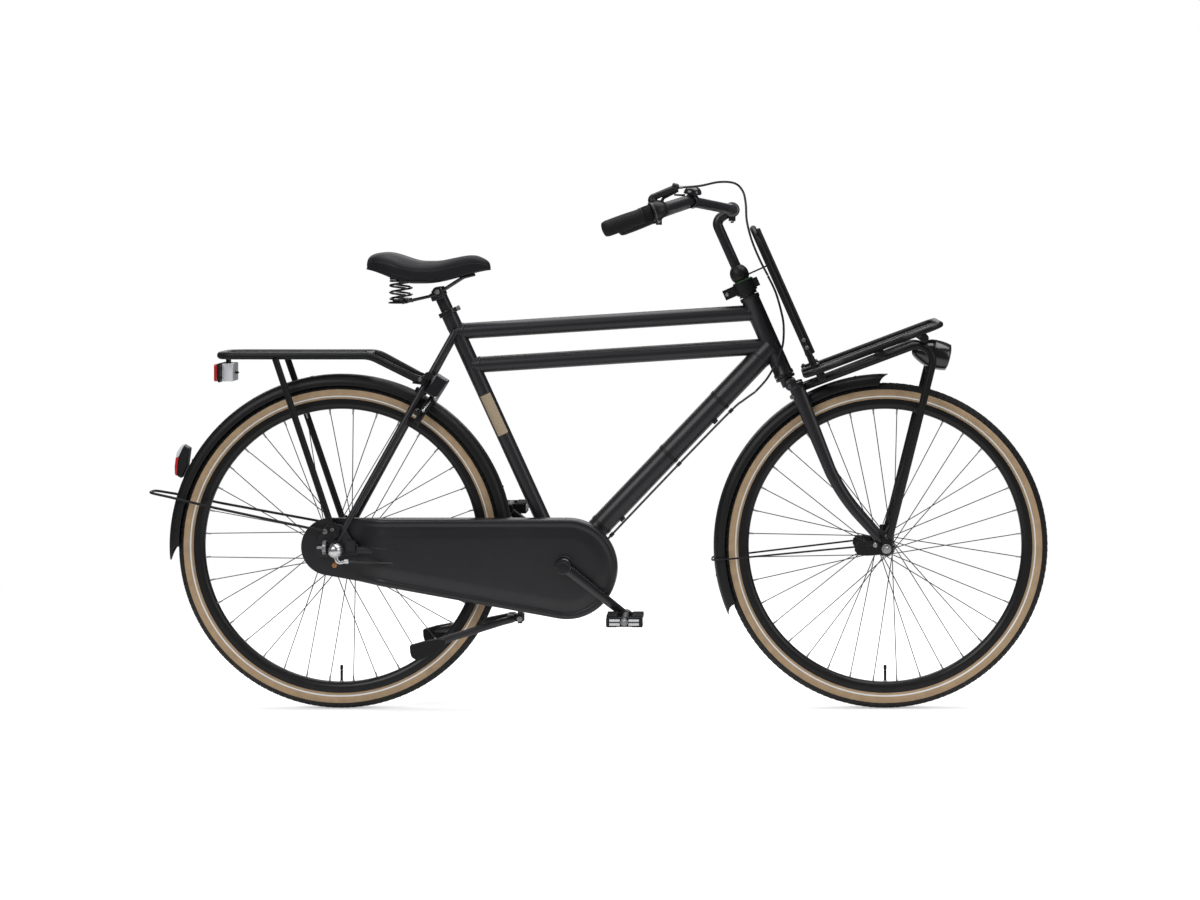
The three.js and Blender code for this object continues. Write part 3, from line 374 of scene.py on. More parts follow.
def flattened(piece):
    """Turns modifiers into plain mesh"""
    graph = bpy.context.evaluated_depsgraph_get()
    mesh = bpy.data.meshes.new_from_object(piece.evaluated_get(graph))
    piece.modifiers.clear()
    piece.data = mesh
    return piece


# Node trees


def settle(holder, values):
    """Sets the inputs of a node, or else its own settings, to the given values"""
    for key, value in values.items():
        if isinstance(key, int) or key in getattr(holder, "inputs", ()):
            holder.inputs[key].default_value = value
        else:
            setattr(holder, key, value)


def group_of(kind, name, inputs, outputs):
    """A node group with named sockets, each given as its type and its value at first"""
    group = bpy.data.node_groups.new(name, kind)
    for way, sockets in (("INPUT", inputs), ("OUTPUT", outputs)):
        for label, (form, default) in sockets.items():
            socket = group.interface.new_socket(name=label, in_out=way, socket_type="NodeSocket" + form)
            if default is not None:
                socket.default_value = default
    group.nodes.new("NodeGroupInput").name = "in"
    group.nodes.new("NodeGroupOutput").name = "out"
    return group


def wired(tree, parts, joins):
    """Adds nodes and joins them. Each node has a name and a type, or a type and its values, and a shader
    node's type leaves out ShaderNode. A join is node.output>node.input, or a number for a socket's place"""
    for name, part in parts.items():
        kind, values = (part, {}) if isinstance(part, str) else part
        node = tree.nodes.new(kind if "Node" in kind else "ShaderNode" + kind)
        node.name = name
        settle(node, values)
    for join in joins.split(", "):
        ends = []
        for end, row in zip(join.split(">"), ("outputs", "inputs")):
            name, socket = end.split(".")
            ends.append(getattr(tree.nodes[name], row)[int(socket) if socket.isdigit() else socket])
        tree.links.new(*ends)
    return tree


def known_tree(name, maker):
    return bpy.data.node_groups.get(name) or maker(name)


# Materials


def grain_tree(name):
    """Fine grain: turns a position into a small bump and a change of roughness"""
    group = group_of("ShaderNodeTree", name, {
        "Scale": ("Float", 400.0), "Strength": ("Float", 0.1), "Roughness": ("Float", 0.4),
        "Spread": ("Float", 0.1)}, {"Normal": ("Vector", None), "Roughness": ("Float", None)})
    return wired(group, {
        "place": "TexCoord",
        "noise": ("TexNoise", {"Detail": 3.0}),
        "slow": ("TexNoise", {"Scale": 9.0, "Detail": 2.0}),
        "bump": ("Bump", {"Distance": 0.0006}),
        "centred": ("Math", {"operation": "SUBTRACT", 1: 0.5}),
        "spread": ("Math", {"operation": "MULTIPLY_ADD"})},
        "place.Object>noise.Vector, place.Object>slow.Vector, in.Scale>noise.Scale, "
        "in.Strength>bump.Strength, noise.Fac>bump.Height, bump.Normal>out.Normal, slow.Fac>centred.0, "
        "centred.0>spread.0, in.Spread>spread.1, in.Roughness>spread.2, spread.0>out.Roughness")


def dust_tree(name):
    """Road dust: lightens a colour towards the ground"""
    group = group_of("ShaderNodeTree", name, {
        "Colour": ("Color", (0.02, 0.02, 0.02, 1)), "Dust": ("Color", (0.30, 0.29, 0.27, 1)),
        "Top": ("Float", 0.45), "Amount": ("Float", 0.05)}, {"Colour": ("Color", None)})
    return wired(group, {
        "place": "TexCoord", "split": "SeparateXYZ",
        "fade": ("MapRange", {"From Min": 0.0, "To Min": 1.0, "To Max": 0.0}),
        "spots": ("TexNoise", {"Scale": 60.0, "Detail": 5.0}),
        "amount": ("Math", {"operation": "MULTIPLY"}),
        "share": ("Math", {"operation": "MULTIPLY", "use_clamp": True}),
        "mix": ("Mix", {"data_type": "RGBA"})},
        "place.Object>split.0, in.Top>fade.From Max, split.Z>fade.Value, place.Object>spots.Vector, "
        "fade.Result>amount.0, in.Amount>amount.1, amount.0>share.0, spots.Fac>share.1, share.0>mix.Factor, "
        "in.Colour>mix.A, in.Dust>mix.B, mix.Result>out.Colour")


def shaded(tree, colour, first, last):
    """Sets the two ends of a tree's ramp, each a place and how strong the colour is there"""
    for end, (place, strength) in zip(tree.nodes["ramp"].color_ramp.elements, (first, last)):
        end.position = place
        end.color = (*[min(1, c * strength) for c in colour], 1)


def prisms_with_painted_glints(tree, colour):
    """Small moulded prisms behind a smooth face, drawn in the colour as cells with a painted highlight in
    each middle and painted shade at each edge
    """
    wired(tree, {
        "place": "TexCoord", "ramp": "ValToRGB",
        "cells": ("TexVoronoi", {"Scale": 260.0, "Randomness": 0.0})},
        "place.Object>cells.Vector, cells.Distance>ramp.0, ramp.Color>Principled BSDF.Base Color")
    # painted highlight in the middle of each prism cell and painted shade towards its edges
    shaded(tree, colour, (0.0, 1.25), (0.9, 0.45))


def leather(tree, colour):
    """Leathery cells"""
    wired(tree, {
        "place": "TexCoord", "bump": ("Bump", {"Strength": 0.12, "Distance": 0.0005}),
        "cells": ("TexVoronoi", {"feature": "DISTANCE_TO_EDGE", "Scale": 520.0})},
        "place.Object>cells.Vector, cells.Distance>bump.Height, bump.Normal>Principled BSDF.Normal")


def cloth(tree, colour):
    """Uneven cloth under thin rubber"""
    wired(tree, {
        "place": "TexCoord", "ramp": "ValToRGB",
        "spots": ("TexNoise", {"Scale": 45.0, "Detail": 6.0})},
        "place.Object>spots.Vector, spots.Fac>ramp.0, ramp.Color>Principled BSDF.Base Color")
    shaded(tree, colour, (0.3, 0.86), (0.7, 1.10))


# Each finish: its name, its colour or the name of one in the panel, its roughness and what else it has

FINISHES = {
    "frame_paint": ("Satin black paint", "frame_paint", 0.40, dict(
        grain=900, strength=0.015, spread=0.10, dust=0.05, coat=0.10, shine=0.4)),
    "carrier_paint": ("Powder coat", "carrier_paint", 0.44, dict(
        grain=700, strength=0.02, spread=0.10, dust=0.05, shine=0.25)),
    "case_plastic": ("Chain case plastic", (0.0085, 0.0078, 0.0104), 0.36, dict(
        grain=1100, strength=0.015, spread=0.12, dust=0.06, coat=0.05, shine=0.45)),
    "gloss_black": ("Gloss black", (0.0095, 0.0088, 0.0112), 0.20, dict(
        grain=300, strength=0.01, spread=0.06, coat=0.3)),
    "rim_black": ("Anodised rim", (0.010, 0.010, 0.011), 0.30, dict(
        metal=0.2, strength=0.02, spread=0.1, dust=0.05, shine=0.3)),
    "rubber": ("Black rubber", (0.008, 0.008, 0.008), 0.72, dict(
        grain=1500, strength=0.12, spread=0.15, shine=0.25)),
    "plastic": ("Black plastic", (0.008, 0.008, 0.0085), 0.42, dict(
        grain=1200, strength=0.04, spread=0.12, shine=0.3)),
    "steel": ("Bright steel", (0.62, 0.62, 0.63), 0.26, dict(metal=1.0, strength=0.05, spread=0.14)),
    "dull_steel": ("Dull steel", (0.30, 0.30, 0.31), 0.38, dict(metal=1.0, strength=0.06, spread=0.16)),
    "spoke_steel": ("Black spoke", (0.035, 0.035, 0.037), 0.34, dict(metal=0.8, strength=0.02, spread=0.1)),
    "alloy": ("Brushed alloy", (0.50, 0.51, 0.52), 0.34, dict(metal=1.0, grain=1500, spread=0.16)),
    "copper": ("Copper bolt", (0.55, 0.26, 0.12), 0.34, dict(metal=1.0, strength=0.05)),
    "clear": ("Clear lens", (0.72, 0.74, 0.76), 0.10, dict(strength=0.0, spread=0.04, coat=0.8)),
    "lamp_glass": ("Lamp glass", (0.035, 0.037, 0.040), 0.08, dict(strength=0.0, coat=1.0)),
    "red_lens": ("Red lens", "lamp_red", 0.14, dict(strength=0.0, spread=0.05, coat=0.9)),
    "reflector_clear": ("Clear reflector", (0.66, 0.67, 0.68), 0.12, dict(
        strength=0.0, spread=0.04, coat=1.0, pattern=prisms_with_painted_glints)),
    "reflector_red": ("Red reflector", "lamp_red", 0.12, dict(
        strength=0.0, spread=0.04, coat=1.0, pattern=prisms_with_painted_glints)),
    "saddle_cover": ("Saddle cover", "saddle_skin", 0.56, dict(
        strength=0.0, spread=0.12, shine=0.2, pattern=leather)),
    "sidewall": ("Tan sidewall", "sidewall", 0.62, dict(grain=900, strength=0.16, spread=0.1, pattern=cloth)),
    "tread": ("Tread rubber", "tread", 0.78, dict(
        grain=1300, strength=0.15, spread=0.1, dust=0.12, shine=0.25)),
    "stripe": ("Reflex stripe", "reflex", 0.35, dict(grain=2000, strength=0.1, spread=0.1)),
    "label": ("Seat tube band", "label", 0.5, {}),
    "seal": ("Green seal", (0.03, 0.16, 0.03), 0.5, dict(strength=0.02)),
    "scale": ("Shifter scale", (0.10, 0.10, 0.105), 0.3, {}),
    "thread": ("Stitch thread", (0.045, 0.045, 0.048), 0.7, {}),
    "jacket": ("Cable jacket", (0.012, 0.012, 0.013), 0.32, dict(strength=0.03, spread=0.06, coat=0.2)),
}


def look_of(word):
    """The material of a finish in the table, made when it is first asked for"""
    name, colour, roughness, more = FINISHES[word]
    if isinstance(colour, str):
        colour = getattr(bpy.context.scene.bike_colours, colour)
    return bpy.data.materials.get(name) or finish_of(name, colour, roughness, **more)


def finish_of(name, colour, roughness, metal=0.0, grain=400.0, strength=0.08, spread=0.08, dust=0.0,
              coat=0.0, shine=0.5, pattern=None):
    """A material with fine grain, uneven roughness and, low on the bike, a little dust"""
    look = bpy.data.materials.new(name)
    look.use_nodes = True
    look.diffuse_color = (*colour, 1)
    tree = look.node_tree
    settle(tree.nodes["Principled BSDF"], {
        "Base Color": (*colour, 1), "Metallic": metal, "Coat Weight": coat, "Coat Roughness": 0.12,
        "Specular IOR Level": shine})
    wired(tree, {"fine": ("Group", {
        "node_tree": known_tree("Fine grain", grain_tree), "Scale": grain, "Strength": strength,
        "Roughness": roughness, "Spread": spread})},
        "fine.Normal>Principled BSDF.Normal, fine.Roughness>Principled BSDF.Roughness")
    if dust:
        wired(tree, {"low": ("Group", {
            "node_tree": known_tree("Road dust", dust_tree), "Colour": (*colour, 1), "Amount": dust})},
            "low.Colour>Principled BSDF.Base Color")
    if pattern:
        pattern(tree, colour)
    return look


def sizes():
    return bpy.context.scene.bike_sizes


# Repeats made by Geometry Nodes


def repeat_tree(name, inputs, parts, joins):
    """A tree that puts copies of a part where the joins say, as real mesh with one look"""
    tree = group_of("GeometryNodeTree", name, {
        **inputs, "Part": ("Object", None), "Look": ("Material", None)}, {"Geometry": ("Geometry", None)})
    return wired(tree, {
        **parts, "info": "GeometryNodeObjectInfo", "copies": "GeometryNodeInstanceOnPoints",
        "real": "GeometryNodeRealizeInstances", "cover": "GeometryNodeSetMaterial"},
        joins + "in.Part>info.Object, info.Geometry>copies.Instance, copies.0>real.0, "
        "real.0>cover.Geometry, in.Look>cover.Material, cover.0>out.0")


def round_tree(name):
    """Copies turned about the Y axis, evenly round a circle"""
    return repeat_tree(name, {"Count": ("Int", 12)}, {
        "line": "GeometryNodePoints", "index": "GeometryNodeInputIndex",
        "step": ("Math", {"operation": "DIVIDE", 0: 2 * pi}),
        "turn": ("Math", {"operation": "MULTIPLY"}), "spin": "CombineXYZ"},
        "in.Count>line.Count, in.Count>step.1, index.0>turn.0, step.0>turn.1, turn.0>spin.Y, "
        "line.0>copies.Points, spin.0>copies.Rotation, ")


def path_tree(name):
    """Copies along a path, facing along it"""
    return repeat_tree(name, {"Geometry": ("Geometry", None), "Spacing": ("Float", 0.01)}, {
        "curve": "GeometryNodeMeshToCurve", "points": ("GeometryNodeCurveToPoints", {"mode": "LENGTH"})},
        "in.Geometry>curve.Mesh, curve.0>points.Curve, in.Spacing>points.Length, "
        "points.Points>copies.Points, points.Rotation>copies.Rotation, ")


def run_tree(tree, skin, mesh, values):
    """A plain mesh object made by a tree, which copies a skin drawn about its own origin"""
    small = bpy.data.meshes.new("part")
    small.from_pydata([p / 1000 for p in skin.points], [], skin.faces)
    faced_out(small)
    values["Part"] = bpy.data.objects.new("part", small)
    carrier = object_of(mesh, [])
    repeat = carrier.modifiers.new("Repeat", "NODES")
    repeat.node_group = tree
    for socket in tree.interface.items_tree:
        if socket.in_out == "INPUT" and socket.name in values:
            repeat[socket.identifier] = values[socket.name]
    bpy.context.view_layer.update()
    flattened(carrier)
    bpy.data.objects.remove(values["Part"])
    return carrier


def round_copies(skin, count, centre, look):
    """A skin drawn about a wheel centre at the origin, copied round it and placed at the centre"""
    made = run_tree(known_tree("Repeat round Y", round_tree), skin, bpy.data.meshes.new("part"),
        {"Count": count, "Look": look_of(look)})
    made.data.transform(Matrix.Translation(metres(centre)))
    return made


def path_copies(skin, path, spacing, look):
    """A skin drawn about the origin with Z along the path, copied along it"""
    mesh = bpy.data.meshes.new("part")
    mesh.from_pydata([metres(p) for p in path], [(i, i + 1) for i in range(len(path) - 1)], [])
    return run_tree(known_tree("Repeat along path", path_tree), skin, mesh,
        {"Spacing": spacing, "Look": look_of(look)})


def merged(pieces):
    """Joins finished pieces of one body into one mesh object"""
    slots = []
    for piece in pieces:
        if piece.modifiers:
            flattened(piece)
        for look in piece.data.materials:
            if look not in slots:
                slots.append(look)
    whole = bmesh.new()
    for piece in pieces:
        order = [slots.index(look) for look in piece.data.materials]
        before = len(whole.faces)
        whole.from_mesh(piece.data)
        whole.faces.ensure_lookup_table()
        for face in whole.faces[before:]:
            face.material_index = order[face.material_index] if order else 0
    mesh = bpy.data.meshes.new("part")
    whole.to_mesh(mesh)
    whole.free()
    for piece in pieces:
        old = piece.data
        bpy.data.objects.remove(piece)
        bpy.data.meshes.remove(old)
    return object_of(mesh, slots)


# Stage


class StageBuild(bpy.types.Operator):
    """Floor, lights, white surroundings and the camera"""
    bl_idname = "city_bike.stage"
    bl_label = "Stage"

    def execute(self, context):
        floor = floor_plane()
        lights = [
            softbox("Key light", (-2.6, -3.4, 3.1), (0.0, 0.0, 0.5), (3.4, 2.2), 105),
            softbox("Top light", (0.4, 0.3, 3.6), (0.2, 0.0, 0.3), (4.6, 2.4), 140),
            softbox("Side light", (3.6, -2.2, 1.9), (0.3, 0.0, 0.6), (2.0, 2.4), 34),
            softbox("Back light", (-0.8, 3.8, 2.3), (0.0, 0.0, 0.6), (4.0, 1.6), 42),
        ]
        white_world()
        camera = photo_camera()
        return {"FINISHED"}


FLOOR_SIZE = 60.0
LIT_RADIUS = 2.6
DIM_GLOW = 0.14
FLOOR_LIFT = 0.42
CAMERA_PLACE = (0.341, -5.8, 1.041)
CAMERA_LENS = 80.67
CAMERA_SHIFT = (-0.1317, -0.1875)


def floor_plane():
    mesh = bpy.data.meshes.new("floor")
    half = FLOOR_SIZE / 2
    mesh.from_pydata([(-half, -half, 0), (half, -half, 0), (half, half, 0), (-half, half, 0)], [],
        [(0, 1, 2, 3)])
    look = bpy.data.materials.new("White floor")
    look.use_nodes = True
    settle(look.node_tree.nodes["Principled BSDF"], {
        "Base Color": (0.9, 0.9, 0.9, 1), "Roughness": 0.9, "Specular IOR Level": 0.1,
        "Emission Color": (1, 1, 1, 1)})
    wired(look.node_tree, {
        "place": "TexCoord", "reach": ("VectorMath", {"operation": "LENGTH"}),
        "fade": ("MapRange", {
            "interpolation_type": "SMOOTHSTEP", "From Min": LIT_RADIUS * 0.5, "From Max": LIT_RADIUS}),
        "way": "LightPath", "glow": ("Emission", {"Color": (1, 1, 1, 1)}),
        "power": ("MapRange", {"To Min": DIM_GLOW, "To Max": 1.0}),
        "lift": ("Math", {"operation": "MULTIPLY", 1: FLOOR_LIFT}),
        "blend": "MixShader"},
        "place.Object>reach.0, reach.Value>fade.Value, way.Is Camera Ray>power.Value, "
        "power.Result>glow.Strength, way.Is Camera Ray>lift.0, lift.0>Principled BSDF.Emission Strength, "
        "fade.Result>blend.Fac, Principled BSDF.0>blend.1, glow.0>blend.2, blend.0>Material Output.Surface")
    floor = object_of(mesh, [look])
    floor.name = "floor"
    return floor


def softbox(name, place, aim, size, watts):
    light = bpy.data.lights.new(name, "AREA")
    light.shape = "RECTANGLE"
    light.size, light.size_y = size
    light.energy = watts
    lamp = bpy.data.objects.new(name, light)
    lamp.location = place
    lamp.rotation_euler = (Vector(aim) - Vector(place)).to_track_quat("-Z", "Y").to_euler()
    bpy.context.scene.collection.objects.link(lamp)
    return lamp


def white_world():
    """White to the camera, and a dimmer even light for everything else"""
    world = bpy.data.worlds.new("White surroundings")
    bpy.context.scene.world = world
    world.use_nodes = True
    settle(world.node_tree.nodes["Background"], {"Color": (1, 1, 1, 1), "Strength": 1.0})
    wired(world.node_tree, {
        "lit": ("Background", {"Color": (0.96, 0.98, 1.0, 1), "Strength": 0.13}),
        "way": "LightPath", "direct": ("Math", {"operation": "MAXIMUM"}),
        "mix": "MixShader"},
        "way.Is Camera Ray>direct.0, way.Is Transmission Ray>direct.1, direct.0>mix.Fac, lit.0>mix.1, "
        "Background.0>mix.2, mix.0>World Output.Surface")
    bpy.context.scene.view_settings.view_transform = "Standard"


def photo_camera():
    data = bpy.data.cameras.new("Photo camera")
    data.lens = CAMERA_LENS
    data.sensor_width = 36.0
    data.shift_x, data.shift_y = CAMERA_SHIFT
    camera = bpy.data.objects.new("Photo camera", data)
    camera.location = CAMERA_PLACE
    camera.rotation_euler = (pi / 2, 0, 0)
    bpy.context.scene.collection.objects.link(camera)
    bpy.context.scene.camera = camera
    return camera


# Wheels

TYRE_MIDDLE = 331.0
TYRE_TALL = 18.6
TYRE_WIDE = 20.6
TREAD_ANGLE = 70
STRIPE_ANGLES = (115, 124)
RIM_EDGE = 317.5
RIM_INNER = 294.0
CROSS_ANGLE = 60
WHEEL_CENTRES = {"front": FRONT, "rear": REAR}
HUBS = {"front": (14.0, 19.0, 33.0), "rear": (27.0, 30.0, 26.0)}


def tyre_skin(centre):
    angles = [-142 + 284 * k / 60 for k in range(61)]
    outline = [(TYRE_MIDDLE + TYRE_TALL * cos(radians(a)), TYRE_WIDE * sin(radians(a))) for a in angles]

    def look(i):
        if i >= 60:
            return 0
        middle = abs(angles[i] + angles[min(i + 1, 60)]) / 2
        if middle < TREAD_ANGLE:
            return 0
        return 2 if STRIPE_ANGLES[0] < middle < STRIPE_ANGLES[1] else 1
    return Skin().turned(centre, Y_AXIS, outline, 144, look)


def tread_row():
    """One slanted row of tread blocks at the top of a wheel about the origin"""
    row = Skin()
    for k, angle in enumerate((-60, -44, -29, -10, 10, 29, 44, 60)):
        turn = radians(angle)
        out = V(0, sin(turn) * TYRE_WIDE / TYRE_TALL, cos(turn)).normalized()
        edge = abs(angle) > 50
        wide = 4.4 if edge else 4.0
        long = 9.6 if edge else 8.2
        lead = (2.6 if k % 2 else -2.6) if abs(angle) < 40 else 0.0
        at = V(lead, TYRE_WIDE * sin(turn), TYRE_MIDDLE + TYRE_TALL * cos(turn)) + out * 0.3
        slant = radians(18 if angle > 0 else -18) if not edge else 0.0
        along = V(cos(slant), sin(slant) * out.z, -sin(slant) * out.y).normalized()
        across = out.cross(along).normalized()
        corners = []
        for rise, grow in ((-0.7, 1.0), (0.2, 0.98), (0.55, 0.86)):
            corners.append([at + along * long / 2 * a * grow + across * wide / 2 * b * grow + out * rise
                for a, b in ((-1, -1), (1, -1), (1, 1), (-1, 1))])
        row.rings(corners)
    return row


def rim_skin(centre):
    half = [(RIM_EDGE, 12.2), (RIM_EDGE - 0.8, 12.9), (RIM_EDGE - 3, 12.7), (RIM_EDGE - 11, 12.4),
            (RIM_EDGE - 14, 12.0), (RIM_EDGE - 18, 10.4), (RIM_INNER + 2.2, 7.4), (RIM_INNER + 0.4, 5.0),
            (RIM_INNER, 2.4)]
    inner = [(RIM_EDGE - 8, 8.2), (RIM_EDGE - 6, 10.6), (RIM_EDGE - 0.6, 10.9)]
    outline = mirrored(half)
    outline += [(r, y) for r, y in reversed(inner)] + [(r, -y) for r, y in inner]
    return Skin().turned(centre, Y_AXIS, outline, 144)


def rim_spots(side):
    """The way a pair's two spokes lean and where they meet the rim, in degrees"""
    start = 5 if side < 0 else 15
    return (-1, start), (1, start + 180 / sizes().spoke_pairs)


def spoke_pair(side, flange_r, flange_y, thick):
    """Two crossing spokes of one side with their bent heads"""
    pair = Skin()
    for lead, rim_angle in rim_spots(side):
        root = rim_angle + lead * CROSS_ANGLE
        start = polar(ORIGIN, flange_r - 1, root, side * flange_y + lead * 1.9)
        hook = polar(ORIGIN, flange_r - 1, root, side * flange_y - lead * 3.4)
        end = polar(ORIGIN, RIM_INNER - 3.4, rim_angle, side * 1.6 + lead * 0.8)
        pair.tube([start, start.lerp(end, 0.5), end], thick / 2, 8)
        pair.tube([hook, start], thick / 2, 8)
        head = (hook - start).normalized()
        pair.turned(hook, head, [(0, -1.2), (2.3, -1.0), (2.5, 0.0), (1.6, 0.9), (0, 1.1)], 10)
    return pair


def nipple_pair(side):
    pair = Skin()
    for lead, angle in rim_spots(side):
        at = polar(ORIGIN, RIM_INNER + 1.0, angle, side * 1.6 + lead * 0.8)
        down = polar(ORIGIN, 1, angle) * -1
        outline = [(0, 0), (2.4, 0), (2.4, 2.2), (1.9, 3.0), (1.8, 11.0), (1.3, 12.0), (0, 12.0)]
        pair.turned(at, down, outline, 10)
    return pair


class WheelsBuild(bpy.types.Operator):
    """Tyres with tread, rims, spokes, nipples, hubs and valves of both wheels"""
    bl_idname = "city_bike.wheels"
    bl_label = "Wheels"

    def execute(self, context):
        for prefix, centre in WHEEL_CENTRES.items():
            build_wheel(prefix, centre)
        return {"FINISHED"}


def build_wheel(prefix, centre):
    hub_r, flange_r, flange_y = HUBS[prefix]
    body = prefix + "_wheel"
    rows = sizes().tread_blocks
    casing = shaped(tyre_skin(centre), "tread sidewall stripe")
    tread = round_copies(tread_row(), rows, centre, "tread")
    fitted(prefix + "_tyre", body, "tyre", casing, tread)
    hoop = shaped(rim_skin(centre), "rim_black")
    parts = [hoop]
    for side in (-1, 1):
        parts.append(round_copies(nipple_pair(side), sizes().spoke_pairs, centre, "dull_steel"))
    parts.append(shaped(valve_skin(centre), "rubber dull_steel"))
    fitted(prefix + "_rim", body, "black_paint", *parts)
    for side, word in SIDES:
        wires = round_copies(spoke_pair(side, flange_r, flange_y, sizes().spoke_thickness * 1000),
            sizes().spoke_pairs, centre, "spoke_steel")
        ring = shaped(flange_skin(centre, side, flange_r, flange_y), "alloy")
        fitted(f"{prefix}_spokes_{word}", body, "dark_steel", wires, ring, name=f"{prefix}_spoke_set_{word}")
    hub = shaped(hub_skin(centre, hub_r, flange_y), "alloy dull_steel")
    fitted(prefix + "_hub", body, "alloy", hub, name=prefix + "_hub_shell")


def valve_skin(centre):
    foot = V(centre.x, 0, centre.z - RIM_INNER)
    up = Z_AXIS
    skin = Skin().turned(foot, up, [(0, -2), (4.2, -2), (4.2, 0.8), (3.4, 2.4), (0, 2.4)], 20, 1)
    skin.turned(foot, up, [(0, 0), (3.0, 0), (2.9, 10), (3.0, 24), (0, 24)], 20, 0)
    threads = [(0, 22)]
    for k in range(7):
        threads += [(2.7, 22 + k * 0.6), (2.3, 22.3 + k * 0.6)]
    skin.turned(foot, up, [*threads, (0, 27)], 20, 1)
    return skin.turned(foot, up, [(0, 26), (3.3, 26), (3.4, 34), (2.4, 35.8), (0, 36)], 20, 0)


def flange_skin(centre, side, radius, y):
    low, high = side * y - 1.6, side * y + 1.6
    outline = [(12.2, low), (radius + 1.2, low), (radius + 2, low + 0.8), (radius + 2, high - 0.8),
        (radius + 1.2, high), (12.2, high)]
    return Skin().turned(centre, Y_AXIS, outline, 56)


def hub_skin(centre, radius, flange_y):
    tip = flange_y + 5
    inner = flange_y - 2.6
    ends = [(5.4, tip), (9.4, tip), (10.6, tip - 1), (11, inner + 4), (11, inner + 0.4), (radius - 1, inner),
            (radius, inner - 2)]
    waist = [(radius - 3.6 * sin(pi * k / 10) ** 0.6, (inner - 2) * (1 - k / 5)) for k in range(1, 5)]
    outline = mirrored([*ends, *waist, (radius - 3.6, 0)])
    del outline[len(outline) // 2]
    return Skin().turned(centre, Y_AXIS, outline, 56)


# Frame


def along_down(along, below=0.0, side=0.0):
    """A point beside the down tube, from the crank centre up it"""
    return BOTTOM + DOWN_DIR * along + V(DOWN_DIR.z * below, side, -DOWN_DIR.x * below)


def frame_skin():
    skin = Skin()
    skin.tube([SEAT_LOW, SEAT_TOP - SEAT_DIR * 42, SEAT_TOP - SEAT_DIR * 40, SEAT_TOP],
        lambda u: 16.5 if u < 0.5 else 17.1, 40)
    skin.tube([V(247, 0, 811.2), V(895, 0, 852.3)], 17.5, 40)
    skin.tube([V(282.4, 0, 738.8), V(926, 0, 780)], 17.5, 40)
    skin.tube([BOTTOM, DOWN_TOP], 24, 48)
    reach = (HEAD_HIGH - HEAD_LOW).length
    skin.turned(HEAD_LOW, STEER_DIR, [
        (15.4, 0), (21.4, 0), (21.8, 2), (21.8, 7), (20, 9.5), (20, reach - 9.5), (21.8, reach - 7),
        (21.8, reach - 2), (21.4, reach), (15.4, reach)], 56)
    skin.turned(BOTTOM, Y_AXIS, mirrored([(17.8, 34), (20.4, 34), (21, 33.2)]), 56)
    for side in (-1, 1):
        skin.tube([V(247, side * 22, 812), V(-2, side * 65, 362)], lambda u: 7.5 - 1.2 * max(0, u - 0.6), 24)
        stay = bent([V(470, side * 24, 318), V(400, side * 33, 321), V(42, side * 61.5, 347.3)], 120)
        skin.tube(stay, lambda u: 8.0 - 1.0 * max(0, u - 0.7), 24)
        skin.tube([V(390, 0, 322), V(390, side * 34, 322)], 8, 24)
        weld_ring(skin, V(247, side * 22, 812), V(-249, side * 43, -450).normalized(), 7.5)
    for x, z, rise in ((262, 812.2, 0.0634), (298, 739.8, 0.064), (880, 851.3, 0.0634), (912, 779.1, 0.064)):
        weld_ring(skin, V(x, 0, z), V(1, 0, rise).normalized(), 17.5)
    weld_ring(skin, along_down(606), DOWN_DIR, 24.0)
    return skin


def weld_ring(skin, at, way, radius):
    """A low rippled bead round a joint"""
    outline = [(radius - 1, -3.2), (radius + 0.4, -2.4), (radius + 0.9, -1.0), (radius + 0.95, 0.4),
        (radius + 0.5, 2.0), (radius - 1, 3.0)]
    skin.turned(at, way, outline, 48)


def frame_plates():
    skin = Skin()
    for side in (-1, 1):
        outline = [(-45, 336), (-30, 333), (45, 338), (45, 358), (30, 372), (14, 400), (-4, 404), (-24, 400),
            (-40, 376), (-45, 362)]
        skin.plate(outline, *sided(side, 61, 67))
        skin.plate([(168, 701), (186, 701), (190, 718), (172, 718)], *sided(side, 34, 40))
        skin.box(V(386, side * 14, 199), X_AXIS, (10, 8, 30))
    skin.box(V(390, 0, 262.5), X_AXIS, (18, 28, 111))
    skin.box(along_down(150, 24.3, -8), DOWN_DIR, (12, 8, 7.6))
    skin.box(along_down(440, 24.3, -8), DOWN_DIR, (12, 8, 7.6))
    return skin


def label_skin():
    """A plain band wrapped on the near side of the seat tube"""
    across = V(SEAT_DIR.z, 0, -SEAT_DIR.x)
    ways = [across * sin(a) - Y_AXIS * cos(a) for a in [radians(5.5 * i) for i in range(-8, 9)]]
    rings = []
    for end in (V(349, 0, 590), V(311, 0, 676)):
        spot = SEAT_LOW + SEAT_DIR * (end - SEAT_LOW).dot(SEAT_DIR)
        rings.append([spot + way * 16.75 for way in ways] + [spot + way * 16.2 for way in reversed(ways)])
    return Skin().rings(rings)


def bolt_skin(skin, at, way, radius=4.0, look=0, tall=3.4):
    """A socket head bolt with its washer"""
    skin.turned(at, way, [
        (0, 0), (radius * 1.5, 0), (radius * 1.5, 0.9), (radius, 1.0), (radius, tall - 0.5),
        (radius * 0.86, tall), (radius * 0.5, tall), (radius * 0.45, tall - 1.6), (0, tall - 1.6)], 24, look)
    return skin


